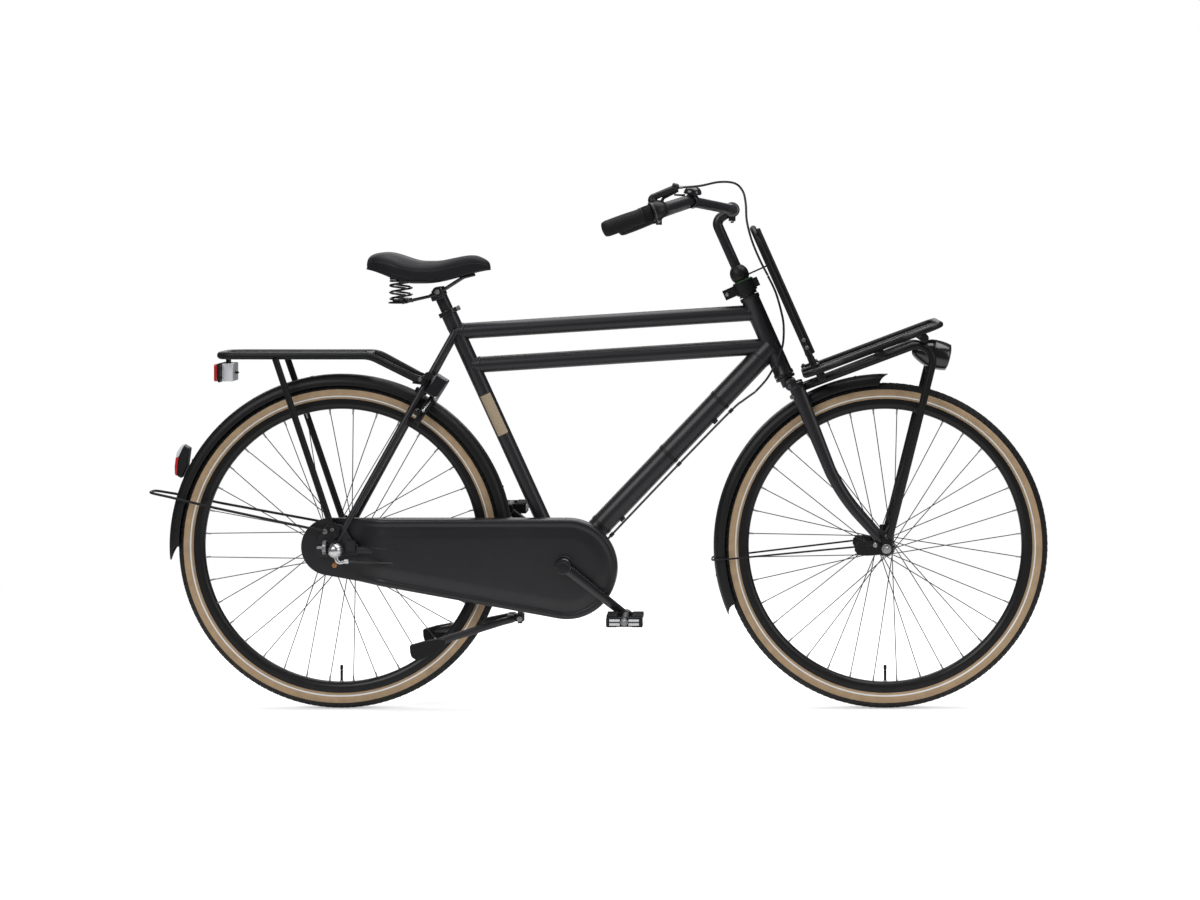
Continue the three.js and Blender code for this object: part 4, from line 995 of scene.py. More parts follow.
class FrameBuild(bpy.types.Operator):
    """Frame tubes, plates, seat clamp, bottom bracket and headset collar"""
    bl_idname = "city_bike.frame"
    bl_label = "Frame"

    def execute(self, context):
        tubes = shaped(frame_skin(), "frame_paint")
        plates = shaped(frame_plates(), "frame_paint", bevel=sizes().edge_round)
        band = shaped(label_skin(), "label")
        clips = Skin()
        for along in (480, 320, 110):
            at = along_down(along)
            clips.turned(at, DOWN_DIR, mirrored([(23.9, 4), (25.0, 3.6)]), 48)
        clips = shaped(clips, "plastic")
        fitted("frame", "frame", "frame_paint", tubes, plates, band, clips, name="frame_tubes")
        self.small_parts()
        return {"FINISHED"}

    def small_parts(self):
        skin = Skin()
        skin.turned(SEAT_TOP, SEAT_DIR, [
            (17.4, -9), (20.8, -9), (21.4, -8.4), (21.4, 0.4), (20.8, 1), (17.4, 1)], 48)
        lug = SEAT_TOP - SEAT_DIR * 4 + V(21, 0, 9.5)
        across = V(SEAT_DIR.z, 0, -SEAT_DIR.x)
        skin.box(lug, across, (8, 14, 10))
        bolt_skin(skin, lug + V(0, -7, 0), -Y_AXIS, 3.2, 1)
        clamp = shaped(skin, "gloss_black dull_steel", bevel=0.0006)
        fitted("seat_clamp", "frame", "frame_paint", clamp)
        cups = Skin().turned(BOTTOM, Y_AXIS, mirrored([(9, 33), (16.2, 33), (17.1, 32)]), 48)
        fitted("bottom_bracket", "frame", "steel", shaped(cups, "dull_steel"))
        skin = Skin()
        skin.turned(steer(889.4), STEER_DIR, [
            (14.5, 0), (19.4, 0), (20, 1), (20, 6.2), (22.6, 6.2), (23.5, 7.2), (23.5, 33), (22.4, 34.1),
            (14.5, 34.1)], 56)
        ahead = V(STEER_DIR.z, 0, -STEER_DIR.x)
        skin.box(steer(908, -33), ahead, (32, 16, 22))
        skin.box(steer(908, 24), ahead, (16, 20, 20))
        bolt_skin(skin, steer(908, -42, -8), -Y_AXIS, 2.8, 1)
        skin.turned(steer(920.6), STEER_DIR, [(15, 0), (21.6, 0), (21.6, 1.3), (15, 1.3)], 48, 2)
        collar = shaped(skin, "plastic dull_steel seal", bevel=0.001)
        fitted("headset_collar", "frame", "plastic", collar)


# Fork, stem and handlebar

AXIS_LOW = steer(702)
BAR_CLAMP = V(842, 0, 1074)


def fork_skin():
    skin = Skin()
    skin.tube([AXIS_LOW - STEER_DIR * 8, AXIS_LOW + STEER_DIR * 20, AXIS_LOW + STEER_DIR * 236], 14, 36)
    skin.turned(steer(711), STEER_DIR, [(13, -2), (21, -2), (21.6, -1), (21.6, 3.2), (20.6, 4.4), (13, 4.4)],
        48)
    skin.tube([V(968, -52, 699), V(968, -30, 699), V(968, 30, 699), V(968, 52, 699)], 13, 36, round_end=4)
    for side in (-1, 1):
        legs = bent([V(978, side * 42, 700), V(1072, side * 46, 466), V(1162, side * 53, 366)], 400, 4)
        legs = smooth_path(legs, 30)
        widths = [11 - 4 * k / 30 for k in range(31)]
        depths = [16.5 - 7 * k / 30 for k in range(31)]
        rings = [oval_ring(point, s, u, widths[k], depths[k], 32)
            for k, (point, s, u) in enumerate(carried_frames(legs))]
        skin.rings(rounded_ends(rings, legs, 3.0))
        weld_ring(skin, V(978, side * 42, 700) + V(2, 0, -6), V(94, side * 4, -234).normalized(), 13.5)
    return skin


def fork_tips():
    skin = Skin()
    for side in (-1, 1):
        outline = [(1150, 374), (1146, 362), (1152, 348), (1160, 338), (1172, 334), (1180, 336), (1187, 344),
            (1188, 352), (1184, 362), (1176, 370)]
        skin.plate(outline, side * 53 - 3, side * 53 + 3)
    return skin


def bar_path(side):
    return bent([V(842, side * 18, 1074), V(828, side * 70, 1077), V(752, side * 215, 1092),
        V(700, side * 272, 1075), V(585, side * 305, 1032)], 60, 5)


class SteeringBuild(bpy.types.Operator):
    """Fork, stem and handlebar"""
    bl_idname = "city_bike.steering"
    bl_label = "Fork, stem and handlebar"

    def execute(self, context):
        legs = shaped(fork_skin(), "frame_paint")
        tips = shaped(fork_tips(), "frame_paint", bevel=sizes().edge_round)
        bolts = Skin()
        for px, pz in ((947, 690), (953, 667)):
            bolt_skin(bolts, V(px + 18, -52 if pz > 680 else -50, pz + 6), -Y_AXIS, 3.6, 0, 4.2)
        bolts = shaped(bolts, "dull_steel")
        fitted("fork", "steering", "frame_paint", legs, tips, bolts)
        self.stem()
        path = list(reversed(bar_path(-1))) + bar_path(1)
        bar = Skin().tube(path, lambda u: 11 + 1.2 * math.exp(-((u - 0.5) / 0.03) ** 4), 32)
        fitted("handlebar", "steering", "frame_paint", shaped(bar, "frame_paint"))
        return {"FINISHED"}

    def stem(self):
        skin = Skin()
        route = bent([steer(830), steer(924), steer(1050), BAR_CLAMP], 18, 9)
        skin.tube(route, 11.0, 36)
        skin.turned(BAR_CLAMP, Y_AXIS, mirrored([(12, 19), (15.4, 19), (16.4, 18)]), 48)
        cap = [(11, 0), (16, 0), (18.4, 3), (20.1, 8), (20.5, 13.5), (20, 19), (18.4, 24), (15.6, 28.6),
               (12.4, 32), (11, 33)]
        skin.turned(steer(922), STEER_DIR, cap, 48, 1)
        skin.tube([steer(928, 10), steer(928, 40), steer(928, 65)], 1.8, 16, 1)
        for side in (-1, 1):
            skin.turned(BAR_CLAMP, Y_AXIS, [
                (11.2, side * 18), (14.6, side * 18), (14.6, side * 20.4), (11.2, side * 20.4)], 40, 3)
            bolt_skin(skin, V(842, side * 7, 1049), V(0.2, 0, -1).normalized(), 3.4, 1, 3.6)
        skin.box(V(842, 0, 1055), X_AXIS, (15, 28, 11))
        stem = shaped(skin, "frame_paint plastic dull_steel steel")
        fitted("stem", "steering", "frame_paint", stem)


# Grips, shifter and bell

BELL_AT = V(760, -200, 1091)
BELL_DIR = V(0.1, -0.1, 1).normalized()


def grip_end(side):
    return V(585, side * 305, 1032)


def grip_dir(side):
    return (V(700, side * 272, 1075) - grip_end(side)).normalized()


def grip_skin(side, to):
    """A moulded grip with rings round it and a rounded end"""
    outline = [(0, -4), (11, -3.8), (14.2, -2.4), (15.8, 0.4), (16.4, 4)]
    ribs = sizes().grip_ribs
    start, stop = 9.0, to - 9.0
    for k in range(ribs * 4 + 1):
        share = k / (ribs * 4)
        along = start + (stop - start) * share
        swell = 16.2 + 1.1 * sin(pi * (0.15 + 0.7 * (1 - share))) - 0.9 * share
        wave = 0.38 * cos(2 * pi * share * ribs)
        outline.append((swell + wave, along))
    outline += [(15.6, to - 6), (16.9, to - 4), (17, to - 0.8), (16.2, to), (11.4, to)]
    return Skin().turned(grip_end(side), grip_dir(side), outline, 48)


class ControlsBuild(bpy.types.Operator):
    """Grips, twist shifter and bell"""
    bl_idname = "city_bike.controls"
    bl_label = "Grips, shifter and bell"

    def execute(self, context):
        for side, word in SIDES:
            grip = shaped(grip_skin(side, 84), "rubber", smooth=50)
            fitted(f"{word}_grip", "steering", "rubber", grip)
        self.shifter()
        self.bell()
        return {"FINISHED"}

    def shifter(self):
        at, way = grip_end(-1), grip_dir(-1)
        teeth = Skin().drum(at, way, 84.8, 102.8, 16.2, 11.6, 48, edge=1.0)
        sleeve = shaped(teeth, "rubber")
        rib = Skin().box(V(0, 0, 16.4), Y_AXIS, (15, 1.5, 1.4), up=Z_AXIS)
        ribs = round_copies(rib, 26, V(MID_X, 0, 0), "rubber")
        turn = Y_AXIS.rotation_difference(way).to_matrix().to_4x4()
        spot = at + way * 93.8
        ribs.data.transform(Matrix.Translation(metres(spot)) @ turn)
        fitted("shifter_grip", "gear_sleeve", "rubber", sleeve, ribs, name="shifter_sleeve_full")
        centre = at + way * 110
        skin = Skin().turned(centre, way, [
            (12, -6.4), (19.4, -6.4), (21, -5), (21.6, 2), (21, 9), (18.6, 17), (15.4, 24), (12, 26)], 56)
        outlet = [centre + V(0, 0, 16), centre + V(-6, 0, 27), V(731, -268, 1119)]
        skin.tube(bent(outlet, 20, 10), lambda u: 10.0 - 3.0 * u, 24, round_end=2)
        skin.tube([centre + V(12, 0, 15), V(704, -268, 1097), V(733, -268, 1112)], 3.4, 16, round_end=1)
        skin.turned(V(731, -268, 1119), V(1, 0, -0.2).normalized(), [(0, -10), (6.6, -10), (7.4, -8), (7, 1),
            (5, 4), (0, 4)], 28)
        skin.box(centre + V(10, 0, -21), X_AXIS, (12, 12, 14))
        bolt_skin(skin, centre + V(10, -6, -21), -Y_AXIS, 2.6, 2)
        window = Skin()
        body = shaped(skin, "plastic clear dull_steel", bevel=0.0008)
        window.drum(centre, way, -3.2, 3.4, 21.3, 20.6, 56)
        scale = shaped(window, "scale")
        fitted("shifter_body", "steering", "plastic", body, scale, name="shifter_full")

    def bell(self):
        skin = Skin()
        dome = [(0, 14), (16.5, 14), (17.6, 15.2), (18.8, 15.6), (19, 16.6), (18.7, 19), (17.6, 23),
                (15.2, 26.6), (11.4, 29.6), (6.8, 31.4), (3.2, 32), (2.8, 31.2), (0, 31.2)]
        skin.turned(BELL_AT, BELL_DIR, dome, 56)
        skin.turned(BELL_AT, BELL_DIR, [(0, 0), (6, 0), (6, 15), (0, 15)], 28)
        along = (V(752, -215, 1092) - V(828, -70, 1077)).normalized()
        skin.turned(BELL_AT, along, mirrored([(12, 6), (15, 6), (15.5, 5.4)]), 40)
        bell = shaped(skin, "gloss_black")
        fitted("bell", "steering", "black_paint", bell)
        pivot = BELL_AT + BELL_DIR * 12 + V(-18, 6, 0)
        lever = Skin().drum(pivot, BELL_DIR, -3, 3, 3, 0, 24, edge=0.6)
        lever.tube([pivot, pivot + V(-9, -6, 0.5), pivot + V(-18, -12, 1)], 2.3, 16, round_end=2)
        fitted("bell_lever", "bell_lever", "black_paint", shaped(lever, "gloss_black"))


# Fenders

FENDER_R = 370.0
FENDER_HALF = 27.0
POINTED = 0.06


def fender_skin(centre, low, high):
    """A rolled fender: a crowned strip with turned edges and round ends"""
    outer = []
    for k in range(21):
        share = -1 + 2 * k / 20
        y = FENDER_HALF * sin(share * pi / 2 * 0.98)
        drop = 21 * (1 - cos(share * pi / 2 * 0.98)) ** 1.25
        outer.append((FENDER_R - drop * 0.98, y))
    outer[0] = (347.0, -FENDER_HALF)
    outer[-1] = (347.0, FENDER_HALF)
    thick = 1.6
    inner = [(r - thick * 0.9, y * (1 - thick / FENDER_HALF)) for r, y in outer]
    outline = outer + [(346.0, FENDER_HALF - 0.6)] + list(reversed(inner)) + [(346.0, -FENDER_HALF + 0.6)]
    steps = max(24, round((high - low) / 1.5))
    rings = []
    for k in range(steps + 1):
        angle = low + (high - low) * k / steps
        end = min(k, steps - k)
        tuck = 1.0 if end > 3 else (0.93, 0.975, 0.99, 0.998)[end]
        middle = (low + high) / 2
        rings.append([
            polar(centre, r, middle + (angle - middle) * (1 - POINTED * (y / FENDER_HALF) ** 2), y * tuck)
            for r, y in outline])
    return Skin().rings(rings)


def fender_bridge(centre, degrees, reach):
    low = polar(centre, FENDER_R - 3, degrees)
    high = polar(centre, FENDER_R + reach, degrees)
    return Skin().box((low + high) / 2, (high - low).normalized(), (reach + 3, 20, 8))


class FendersBuild(bpy.types.Operator):
    """Fenders with bridges, rivets and wire stays"""
    bl_idname = "city_bike.fenders"
    bl_label = "Fenders"

    def execute(self, context):
        for prefix, centre, low, high, angle, reach, body in (
                ("front", FRONT, 89, 204, 121, 19, "steering"), ("rear", REAR, 2, 184.9, 64, 8, "frame")):
            strip = shaped(fender_skin(centre, low, high), "carrier_paint", smooth=50)
            bridge = shaped(fender_bridge(centre, angle, reach), "carrier_paint", bevel=0.001)
            rivets = Skin()
            for spot in ((184.4, 100, 190) if prefix == "front" else (150, 100, 20)):
                for side in (-1, 1):
                    at = polar(centre, FENDER_R - 1.2, spot, side * 8)
                    out = (polar(centre, FENDER_R, spot) - centre).normalized()
                    rivets.turned(at, V(out.x, 0, out.z), [(0, 0), (3, 0), (2.8, 1.0), (1.8, 1.8), (0, 2.0)],
                        16)
            rivets = shaped(rivets, "gloss_black")
            fitted(prefix + "_fender", body, "black_paint", strip, bridge, rivets)
        self.stays()
        return {"FINISHED"}

    def stays(self):
        def front(side):
            return bent([V(1146, side * 62, 358), polar(FRONT, 330, 184.4, side * 33),
                polar(FRONT, 373, 184.4, side * 31), polar(FRONT, 374.5, 184.4, 0)], 8, 12)
        skin = Skin().tube(front(-1) + list(reversed(front(1)))[1:], 2.0, 16)
        for side in (-1, 1):
            leaf = [(1170, 349), (1162, 358), (1148, 364), (1128, 366), (1112, 364), (1105, 358), (1104, 346),
                    (1110, 338), (1128, 335), (1148, 336), (1160, 338), (1168, 341)]
            skin.plate(leaf, *sided(side, 59.6, 62))
            skin.drum(V(1148, 0, 358), Y_AXIS, *sided(side, 59.6, 66), 5, 0, 24, 1, edge=1.0)
            skin.tube([V(1170, side * 62.6, 349), V(1150, side * 62.6, 356)], 2.0, 12)
        stays = shaped(skin, "carrier_paint alloy")
        fitted("front_fender_stays", "steering", "black_paint", stays)

        def rear(side):
            return bent([V(-24, side * 71.5, 388), V(-266, side * 46, 436), V(-366, side * 34, 458),
                V(-408, side * 26, 466), V(-410, 0, 466)], 24, 12)
        skin = Skin().tube(rear(-1) + list(reversed(rear(1)))[1:], 2.8, 16)
        for side in (-1, 1):
            skin.drum(V(-24, 0, 388), Y_AXIS, *sided(side, 67.4, 73), 6, 0, 24, 1, edge=1.0)
            bolt_skin(skin, V(-24, side * 72.4, 388), V(0, side, 0), 3.2, 1, 3.0)
        stays = shaped(skin, "carrier_paint dull_steel")
        fitted("rear_fender_stays", "frame", "black_paint", stays)


# Rear carrier and lamps


def carrier_skin():
    skin = Skin()

    def rail(side):
        return bent([V(168, side * 47, 711), V(70, side * 65, 762), V(-100, side * 65, 762)], 60, 5)
    back = bent([V(-100, -65, 762), V(-254, -65, 762), V(-254, 65, 762), V(-100, 65, 762)], 34, 7)
    skin.tube(rail(-1)[:-1] + back + list(reversed(rail(1)))[1:], 8, 28, round_end=2.5)
    for side in (-1, 1):
        strut = [V(-131, side * 69, 756), V(-80, side * 72, 606), V(-2, side * 76.5, 375)]
        skin.tube(strut, 7, 24)
        bolt_skin(skin, V(-8, side * 79.2, 393), V(0, side, 0), 3.6, 1, 4.0)
        skin.drum(V(-8, 0, 393), Y_AXIS, *sided(side, 67.4, 79), 5, 0, 24, 1, edge=0.6)
        bolt_skin(skin, V(174, side * 48, 711), V(0, side, 0), 3.2, 1, 3.4)
    for x in (-244, -90, 60):
        skin.tube([V(x, -66, 762), V(x, 0, 762), V(x, 66, 762)], 5.5, 24)
    return skin


def carrier_sheets():
    skin = Skin()
    for side in (-1, 1):
        skin.plate([(158, 702), (184, 698), (190, 712), (164, 722)], *sided(side, 40.4, 48))
        skin.plate([(-20, 400), (-2, 408), (8, 396), (6, 378), (-10, 376), (-16, 388)], *sided(side, 75, 79))
    skin.box(V(-92, 0, 766), X_AXIS, (308, 48, 4), up=Z_AXIS)
    skin.box(V(-244, 0, 749.5), X_AXIS, (6, 28, 29))
    for side in (-1, 1):
        skin.box(V(-92, side * 21, 768.6), X_AXIS, (300, 3.0, 1.6), up=Z_AXIS)
    return skin


class RearCarrierBuild(bpy.types.Operator):
    """Rear carrier, its reflector and the tail lamp"""
    bl_idname = "city_bike.rear_carrier"
    bl_label = "Rear carrier and lamps"

    def execute(self, context):
        bars = shaped(carrier_skin(), "carrier_paint dull_steel")
        sheets = shaped(carrier_sheets(), "carrier_paint", bevel=0.0008)
        fitted("rear_carrier", "frame", "black_paint", bars, sheets)
        back = Skin().box(V(-255.6, 0, 724.5), X_AXIS, (5.4, 96, 41))
        back.box(V(-241, 0, 724.5), X_AXIS, (24.4, 64, 38.6), 1)
        back.tube([V(-231, 0, 723), V(-226, 0, 723), V(-221, 0, 723)], lambda u: 3.4 - 1.4 * u, 16)
        fitted("carrier_reflector", "frame", "plastic", shaped(back, "plastic clear", bevel=0.003))
        lens = Skin()
        lens.box(V(-262.7, 0, 724.5), X_AXIS, (8.4, 92, 37))
        red = shaped(lens, "reflector_red", bevel=0.0026)
        strip = Skin().box(V(-266.6, 0, 724.5), X_AXIS, (0.7, 60, 9))
        window = shaped(strip, "reflector_clear", bevel=0.0003)
        fitted("carrier_reflector_lens", "frame", "red_lens", red, window)
        self.tail_lamp()
        return {"FINISHED"}

    def tail_lamp(self):
        body = Skin().plate([
            (-331, 522), (-343, 496), (-352, 501), (-350.5, 520), (-348.5, 541), (-341, 558), (-336, 566),
            (-326, 560)], -16, 16)
        fitted("tail_lamp", "frame", "plastic", shaped(body, "plastic", bevel=0.0022))
        lens = Skin().plate([
            (-352.4, 501), (-356.6, 503.5), (-357.5, 520), (-355, 541), (-349, 541.4), (-351, 520)], -15, 15)
        red = shaped(lens, "red_lens", bevel=0.0012)
        rows = Skin()
        for k in range(5):
            z = 508 + k * 6.9
            x = -357.2 + max(0, k - 2) * 0.9
            rows.box(V(x, 0, z), Z_AXIS, (1.1, 27, 0.8), up=V(-1, 0, 0))
        rows = shaped(rows, "red_lens")
        top = Skin().plate([
            (-354.8, 542), (-352, 552), (-346, 562), (-340, 568), (-336.4, 566.6), (-341.6, 558.4),
            (-348.8, 542)], -15.4, 15.4)
        window = shaped(top, "clear", bevel=0.0005)
        fitted("tail_lamp_lens", "frame", "red_lens", red, rows, window)


# Front carrier, upright and headlamp

PLATFORM_DIR = V(292, 0, 110).normalized()
PLATFORM_UP = V(-PLATFORM_DIR.z, 0, PLATFORM_DIR.x)
PLATFORM_LENGTH = 305.0
LAMP_AT = V(1308, 0, 755)
LAMP_DIR = V(cos(radians(-14)), 0, sin(radians(-14)))


def on_platform(along, side, lift=0.0):
    return V(999, side, 723) + PLATFORM_DIR * along + PLATFORM_UP * lift


def front_carrier_bars():
    skin = Skin()
    corners = [on_platform(150, -125), on_platform(0, -125), on_platform(0, 125),
        on_platform(PLATFORM_LENGTH, 125), on_platform(PLATFORM_LENGTH, -125), on_platform(150, -125)]
    skin.tube(bent(corners, 28, 9), 6.5, 28)
    for along in (30, 165, 262):
        ends = [on_platform(along, -125, -14), on_platform(along, 0, -14), on_platform(along, 125, -14)]
        skin.tube(ends, 9.4, 28, round_end=2)
    for side in (-1, 1):
        route = bent([V(978, side * 19, 686), V(1285, side * 65, 804), V(1178, side * 66, 374)], 34, 6)
        skin.tube(route, 8.2, 28, round_end=2)
        bolt_skin(skin, V(1174, side * 66.5, 378), V(0, side, 0), 3.4, 1, 3.4)
    return skin


def front_carrier_sheets():
    skin = Skin()
    for y in (-88, -44, 44, 88):
        skin.box(on_platform(152, y, -3.5), PLATFORM_DIR, (298, 10, 5), up=PLATFORM_UP)
    skin.box(on_platform(152, 0, -3.5), PLATFORM_DIR, (298, 36, 5), up=PLATFORM_UP)
    for side in (-1, 1):
        outline = [(1163, 388), (1163, 352), (1166, 344), (1174, 340), (1182, 344), (1185, 352), (1185, 388)]
        skin.plate(outline, *sided(side, 63, 66.5))
    skin.box(on_platform(272, 0, -40), PLATFORM_UP, (60, 16, 5))
    return skin


def upright_skin():
    skin = Skin()
    low, high = [steer(713, 67, side * 70) for side in (-1, 1)], [steer(1006, 67, side * 70)
        for side in (-1, 1)]
    hoop = bent([low[0], high[0], high[1], low[1]], 45, 7)
    skin.tube(hoop, 7, 28)
    for side in (-1, 1):
        for lift in (722, 740):
            skin.turned(steer(lift, 67, side * 70), STEER_DIR, mirrored([(6.6, 4), (7.9, 3.4)]), 36)
        skin.tube([steer(738, 76, side * 66), steer(860, 76, side * 66), steer(1001, 76, side * 66)], 5, 24,
            round_end=2)
    return skin


class FrontCarrierBuild(bpy.types.Operator):
    """Front carrier platform, its supports and the upright hoop with its panel"""
    bl_idname = "city_bike.front_carrier"
    bl_label = "Front carrier"

    def execute(self, context):
        bars = shaped(front_carrier_bars(), "carrier_paint dull_steel")
        sheets = shaped(front_carrier_sheets(), "carrier_paint", bevel=sizes().edge_round)
        fitted("front_carrier", "steering", "black_paint", bars, sheets)
        hoop = shaped(upright_skin(), "carrier_paint")
        panel = self.panel()
        feet = Skin()
        for side in (-1, 1):
            feet.box(on_platform(16, side * 70, 9.4), PLATFORM_DIR, (40, 20, 5), up=PLATFORM_UP)
        feet = shaped(feet, "carrier_paint", bevel=sizes().edge_round)
        bolts = Skin()
        for side in (-1, 1):
            for along in (2, 31):
                bolt_skin(bolts, on_platform(along, side * 70, 11.8), PLATFORM_UP, 3.2, 0, 3.6)
            for lift in (752, 768):
                bolt_skin(bolts, steer(lift, 69, side * 77), V(0, side, 0), 3.0, 0, 3.0)
        bolts = shaped(bolts, "dull_steel")
        fitted("carrier_upright", "steering", "black_paint", hoop, panel, feet, bolts)
        return {"FINISHED"}

    def panel(self):
        """A sheet with rows of round holes, cut as rings between plain borders"""
        hole = sizes().panel_hole * 500
        cell = 15.2
        columns, rows = 7, 14
        skin = Skin()
        middle = steer(848, 67)
        face = Y_AXIS.cross(STEER_DIR).normalized()
        wide, tall = columns * cell / 2, rows * cell / 2
        for c in range(columns):
            for r in range(rows):
                centre = middle + Y_AXIS * ((c + 0.5) * cell - wide) + STEER_DIR * ((r + 0.5) * cell - tall)
                holed_cell(skin, centre, Y_AXIS, STEER_DIR, face, cell / 2, hole, 1.2)
        for a, b in ((-68, -wide), (wide, 68)):
            at = middle + Y_AXIS * (a + b) / 2
            skin.box(at, STEER_DIR, (250, b - a, 2.4), up=face)
        for a, b in ((-125, -tall), (tall, 125)):
            at = middle + STEER_DIR * (a + b) / 2
            skin.box(at, STEER_DIR, (b - a, 2 * wide, 2.4), up=face)
        for side in (-1, 1):
            skin.tube([middle + Y_AXIS * side * 62 + STEER_DIR * k for k in (-124, 0, 124)], 2.2, 12)
        return shaped(skin, "carrier_paint")


def holed_cell(skin, centre, across, rise, face, half, hole, thick):
    """One square of sheet with a round hole through it"""
    count = 20
    square, circle = [], []
    for i in range(count):
        turn = 2 * pi * (i + 0.5) / count
        c, s = cos(turn), sin(turn)
        grow = half / max(abs(c), abs(s))
        square.append((c * grow, s * grow))
        circle.append((c * hole, s * hole))
    corners = [(half, half), (-half, half), (-half, -half), (half, -half)]
    for corner in corners:
        near = min(range(count), key=lambda i: (square[i][0] - corner[0]) ** 2
            + (square[i][1] - corner[1]) ** 2)
        square[near] = corner
    def ring(points, lift):
        return [centre + across * a + rise * b + face * lift for a, b in points]
    skin.rings([ring(square, thick), ring(circle, thick), ring(circle, -thick), ring(square, -thick)],
        caps=False)
    return skin


class HeadlampBuild(bpy.types.Operator):
    """Headlamp housing, its bracket and lens"""
    bl_idname = "city_bike.headlamp"
    bl_label = "Headlamp"

    def execute(self, context):
        skin = Skin()
        shell = [
            (0, -80), (6, -79.4), (11.6, -77.4), (16.6, -72), (21, -65), (26.4, -54), (30, -44), (31.3, -34),
            (31.3, -22), (30.6, -12), (29.2, -5), (28.5, -1), (27.4, 0.2), (26.4, -1), (26.4, -8), (0, -8)]
        skin.turned(LAMP_AT, LAMP_DIR, shell, 64)
        skin.box(V(1262, 0, 742), V(0.2, 0, -1).normalized(), (60, 10, 10))
        skin.drum(V(1268, 0, 714), Y_AXIS, -9, 9, 6, 0, 28, edge=1.0)
        bolt_skin(skin, V(1268, -9, 714), -Y_AXIS, 3.0, 1, 3.2)
        fitted("headlamp", "steering", "plastic", shaped(skin, "gloss_black dull_steel"))
        lens = Skin().turned(LAMP_AT, LAMP_DIR, [
            (0, -7.4), (26.3, -7.4), (26.3, -1), (24, 1.2), (18, 2.8), (9, 3.8), (0, 4)], 64, lambda i: 0)
        glass = shaped(lens, "lamp_glass")
        rings = Skin()
        for radius in (7, 13, 19):
            lift = 4.0 - (radius / 26.0) ** 2 * 2.4
            rings.turned(LAMP_AT, LAMP_DIR, [
                (radius - 0.7, lift - 0.8), (radius - 0.5, lift + 0.1), (radius + 0.5, lift + 0.1),
                (radius + 0.7, lift - 0.8)], 56)
        rings = shaped(rings, "clear")
        fitted("headlamp_lens", "steering", "clear", glass, rings)
        return {"FINISHED"}


# Drive

CHAIN_Y = -43.0
PITCH = 12.7
RING_R = PITCH / (2 * sin(pi / 38))
SPROCKET_R = PITCH / (2 * sin(pi / 20))
CRANK_LENGTH = 169.5
CRANK_ANGLE = -38.2
CRANK_CORNER = 4.2
CASE_REAR = (-18.0, 353.0, 61.0)
CASE_FRONT = (490.5, 307.0, 107.0)
CASE_LOW = -51.0


def belt_outline(rear, front, margin, steps):
    """The outline round two circles, given as X, Z and radius, grown by a margin"""
    span = math.hypot(front[0] - rear[0], front[1] - rear[1])
    slope = math.atan2(front[1] - rear[1], front[0] - rear[0])
    lean = math.acos((rear[2] - front[2]) / span)

    def arc(circle, start, stop):
        return [(circle[0] + (circle[2] + margin) * cos(slope + start + (stop - start) * k / steps),
                 circle[1] + (circle[2] + margin) * sin(slope + start + (stop - start) * k / steps))
                for k in range(steps + 1)]
    return arc(rear, lean, 2 * pi - lean) + arc(front, -lean, lean)


def ring_at(outline, y):
    return [V(x, y, z) for x, z in outline]


def hull_ring(margin, y, steps=36):
    """The chain case outline at a margin, with points along its straight edges"""
    outline = ring_at(belt_outline(CASE_REAR, CASE_FRONT, margin, steps), y)
    rear, front = outline[:steps + 1], outline[steps + 1:]
    shares = [0.03, 0.06, 0.085] + [0.1 + 0.013 * k for k in range(14)] + [0.3 + 0.1 * k for k in range(7)]
    low = [rear[-1].lerp(front[0], share) for share in shares]
    high = [rear[0].lerp(front[-1], share) for share in reversed(shares)]
    return rear + low + front + high


def case_skin():
    """The case: back flange, rim wall, rounded edge, raised face and the stepped rear"""
    skin = Skin()
    steps = 40

    def step_in(ring):
        out = []
        for p in ring:
            share = min(1, max(0, (p.x - 34) / 70))
            share = share * share * (3 - 2 * share)
            out.append(V(p.x, p.y if p.y > CASE_LOW else CASE_LOW + (p.y - CASE_LOW) * share, p.z))
        return out
    profile = [(-3, -36), (-0.6, -36), (0, -36.8), (0, -44), (0.05, -60), (0, -66), (-0.5, -69.4),
        (-1.9, -72.0), (-4.2, -73.4), (-7.5, -73.8), (-11, -73.6), (-13.4, -72.9), (-14.6, -72.4)]
    profile += [(-14.6 - 2.9 * k, -72.4 - 2.2 * sin(pi / 20 * k) ** 2) for k in range(1, 11)]
    rings = [step_in(hull_ring(margin, y, steps)) for margin, y in profile]
    skin.rings(rings, caps=False)
    flat = step_in(hull_ring(-45, -74.6, steps))
    skin.rings([rings[-1], flat], caps=False)
    start = len(skin.points)
    skin.points.extend(flat)
    count = len(flat)
    for k in range(count // 2):
        corners = [steps // 2 + k, steps // 2 + k + 1, steps // 2 - k - 1, steps // 2 - k]
        face = []
        for corner in corners:
            if start + corner % count not in face:
                face.append(start + corner % count)
        skin.faces.append(tuple(face))
        skin.looks.append(0)
    return skin.rings([hull_ring(-3, y, steps) for y in (-36, -50)], caps=False)


def case_parts():
    skin = Skin()
    skin.turned(BOTTOM, Y_AXIS, [
        (17.8, -79.4), (19.4, -79.4), (20.3, -78.6), (20.8, -74), (22, -71.6), (17.8, -71.6)], 48)
    skin.turned(REAR, Y_AXIS, [(6, -60), (11.6, -60), (13, -58.6), (13, -51.6), (15, -50.4), (6, -50.4)], 40)
    return skin


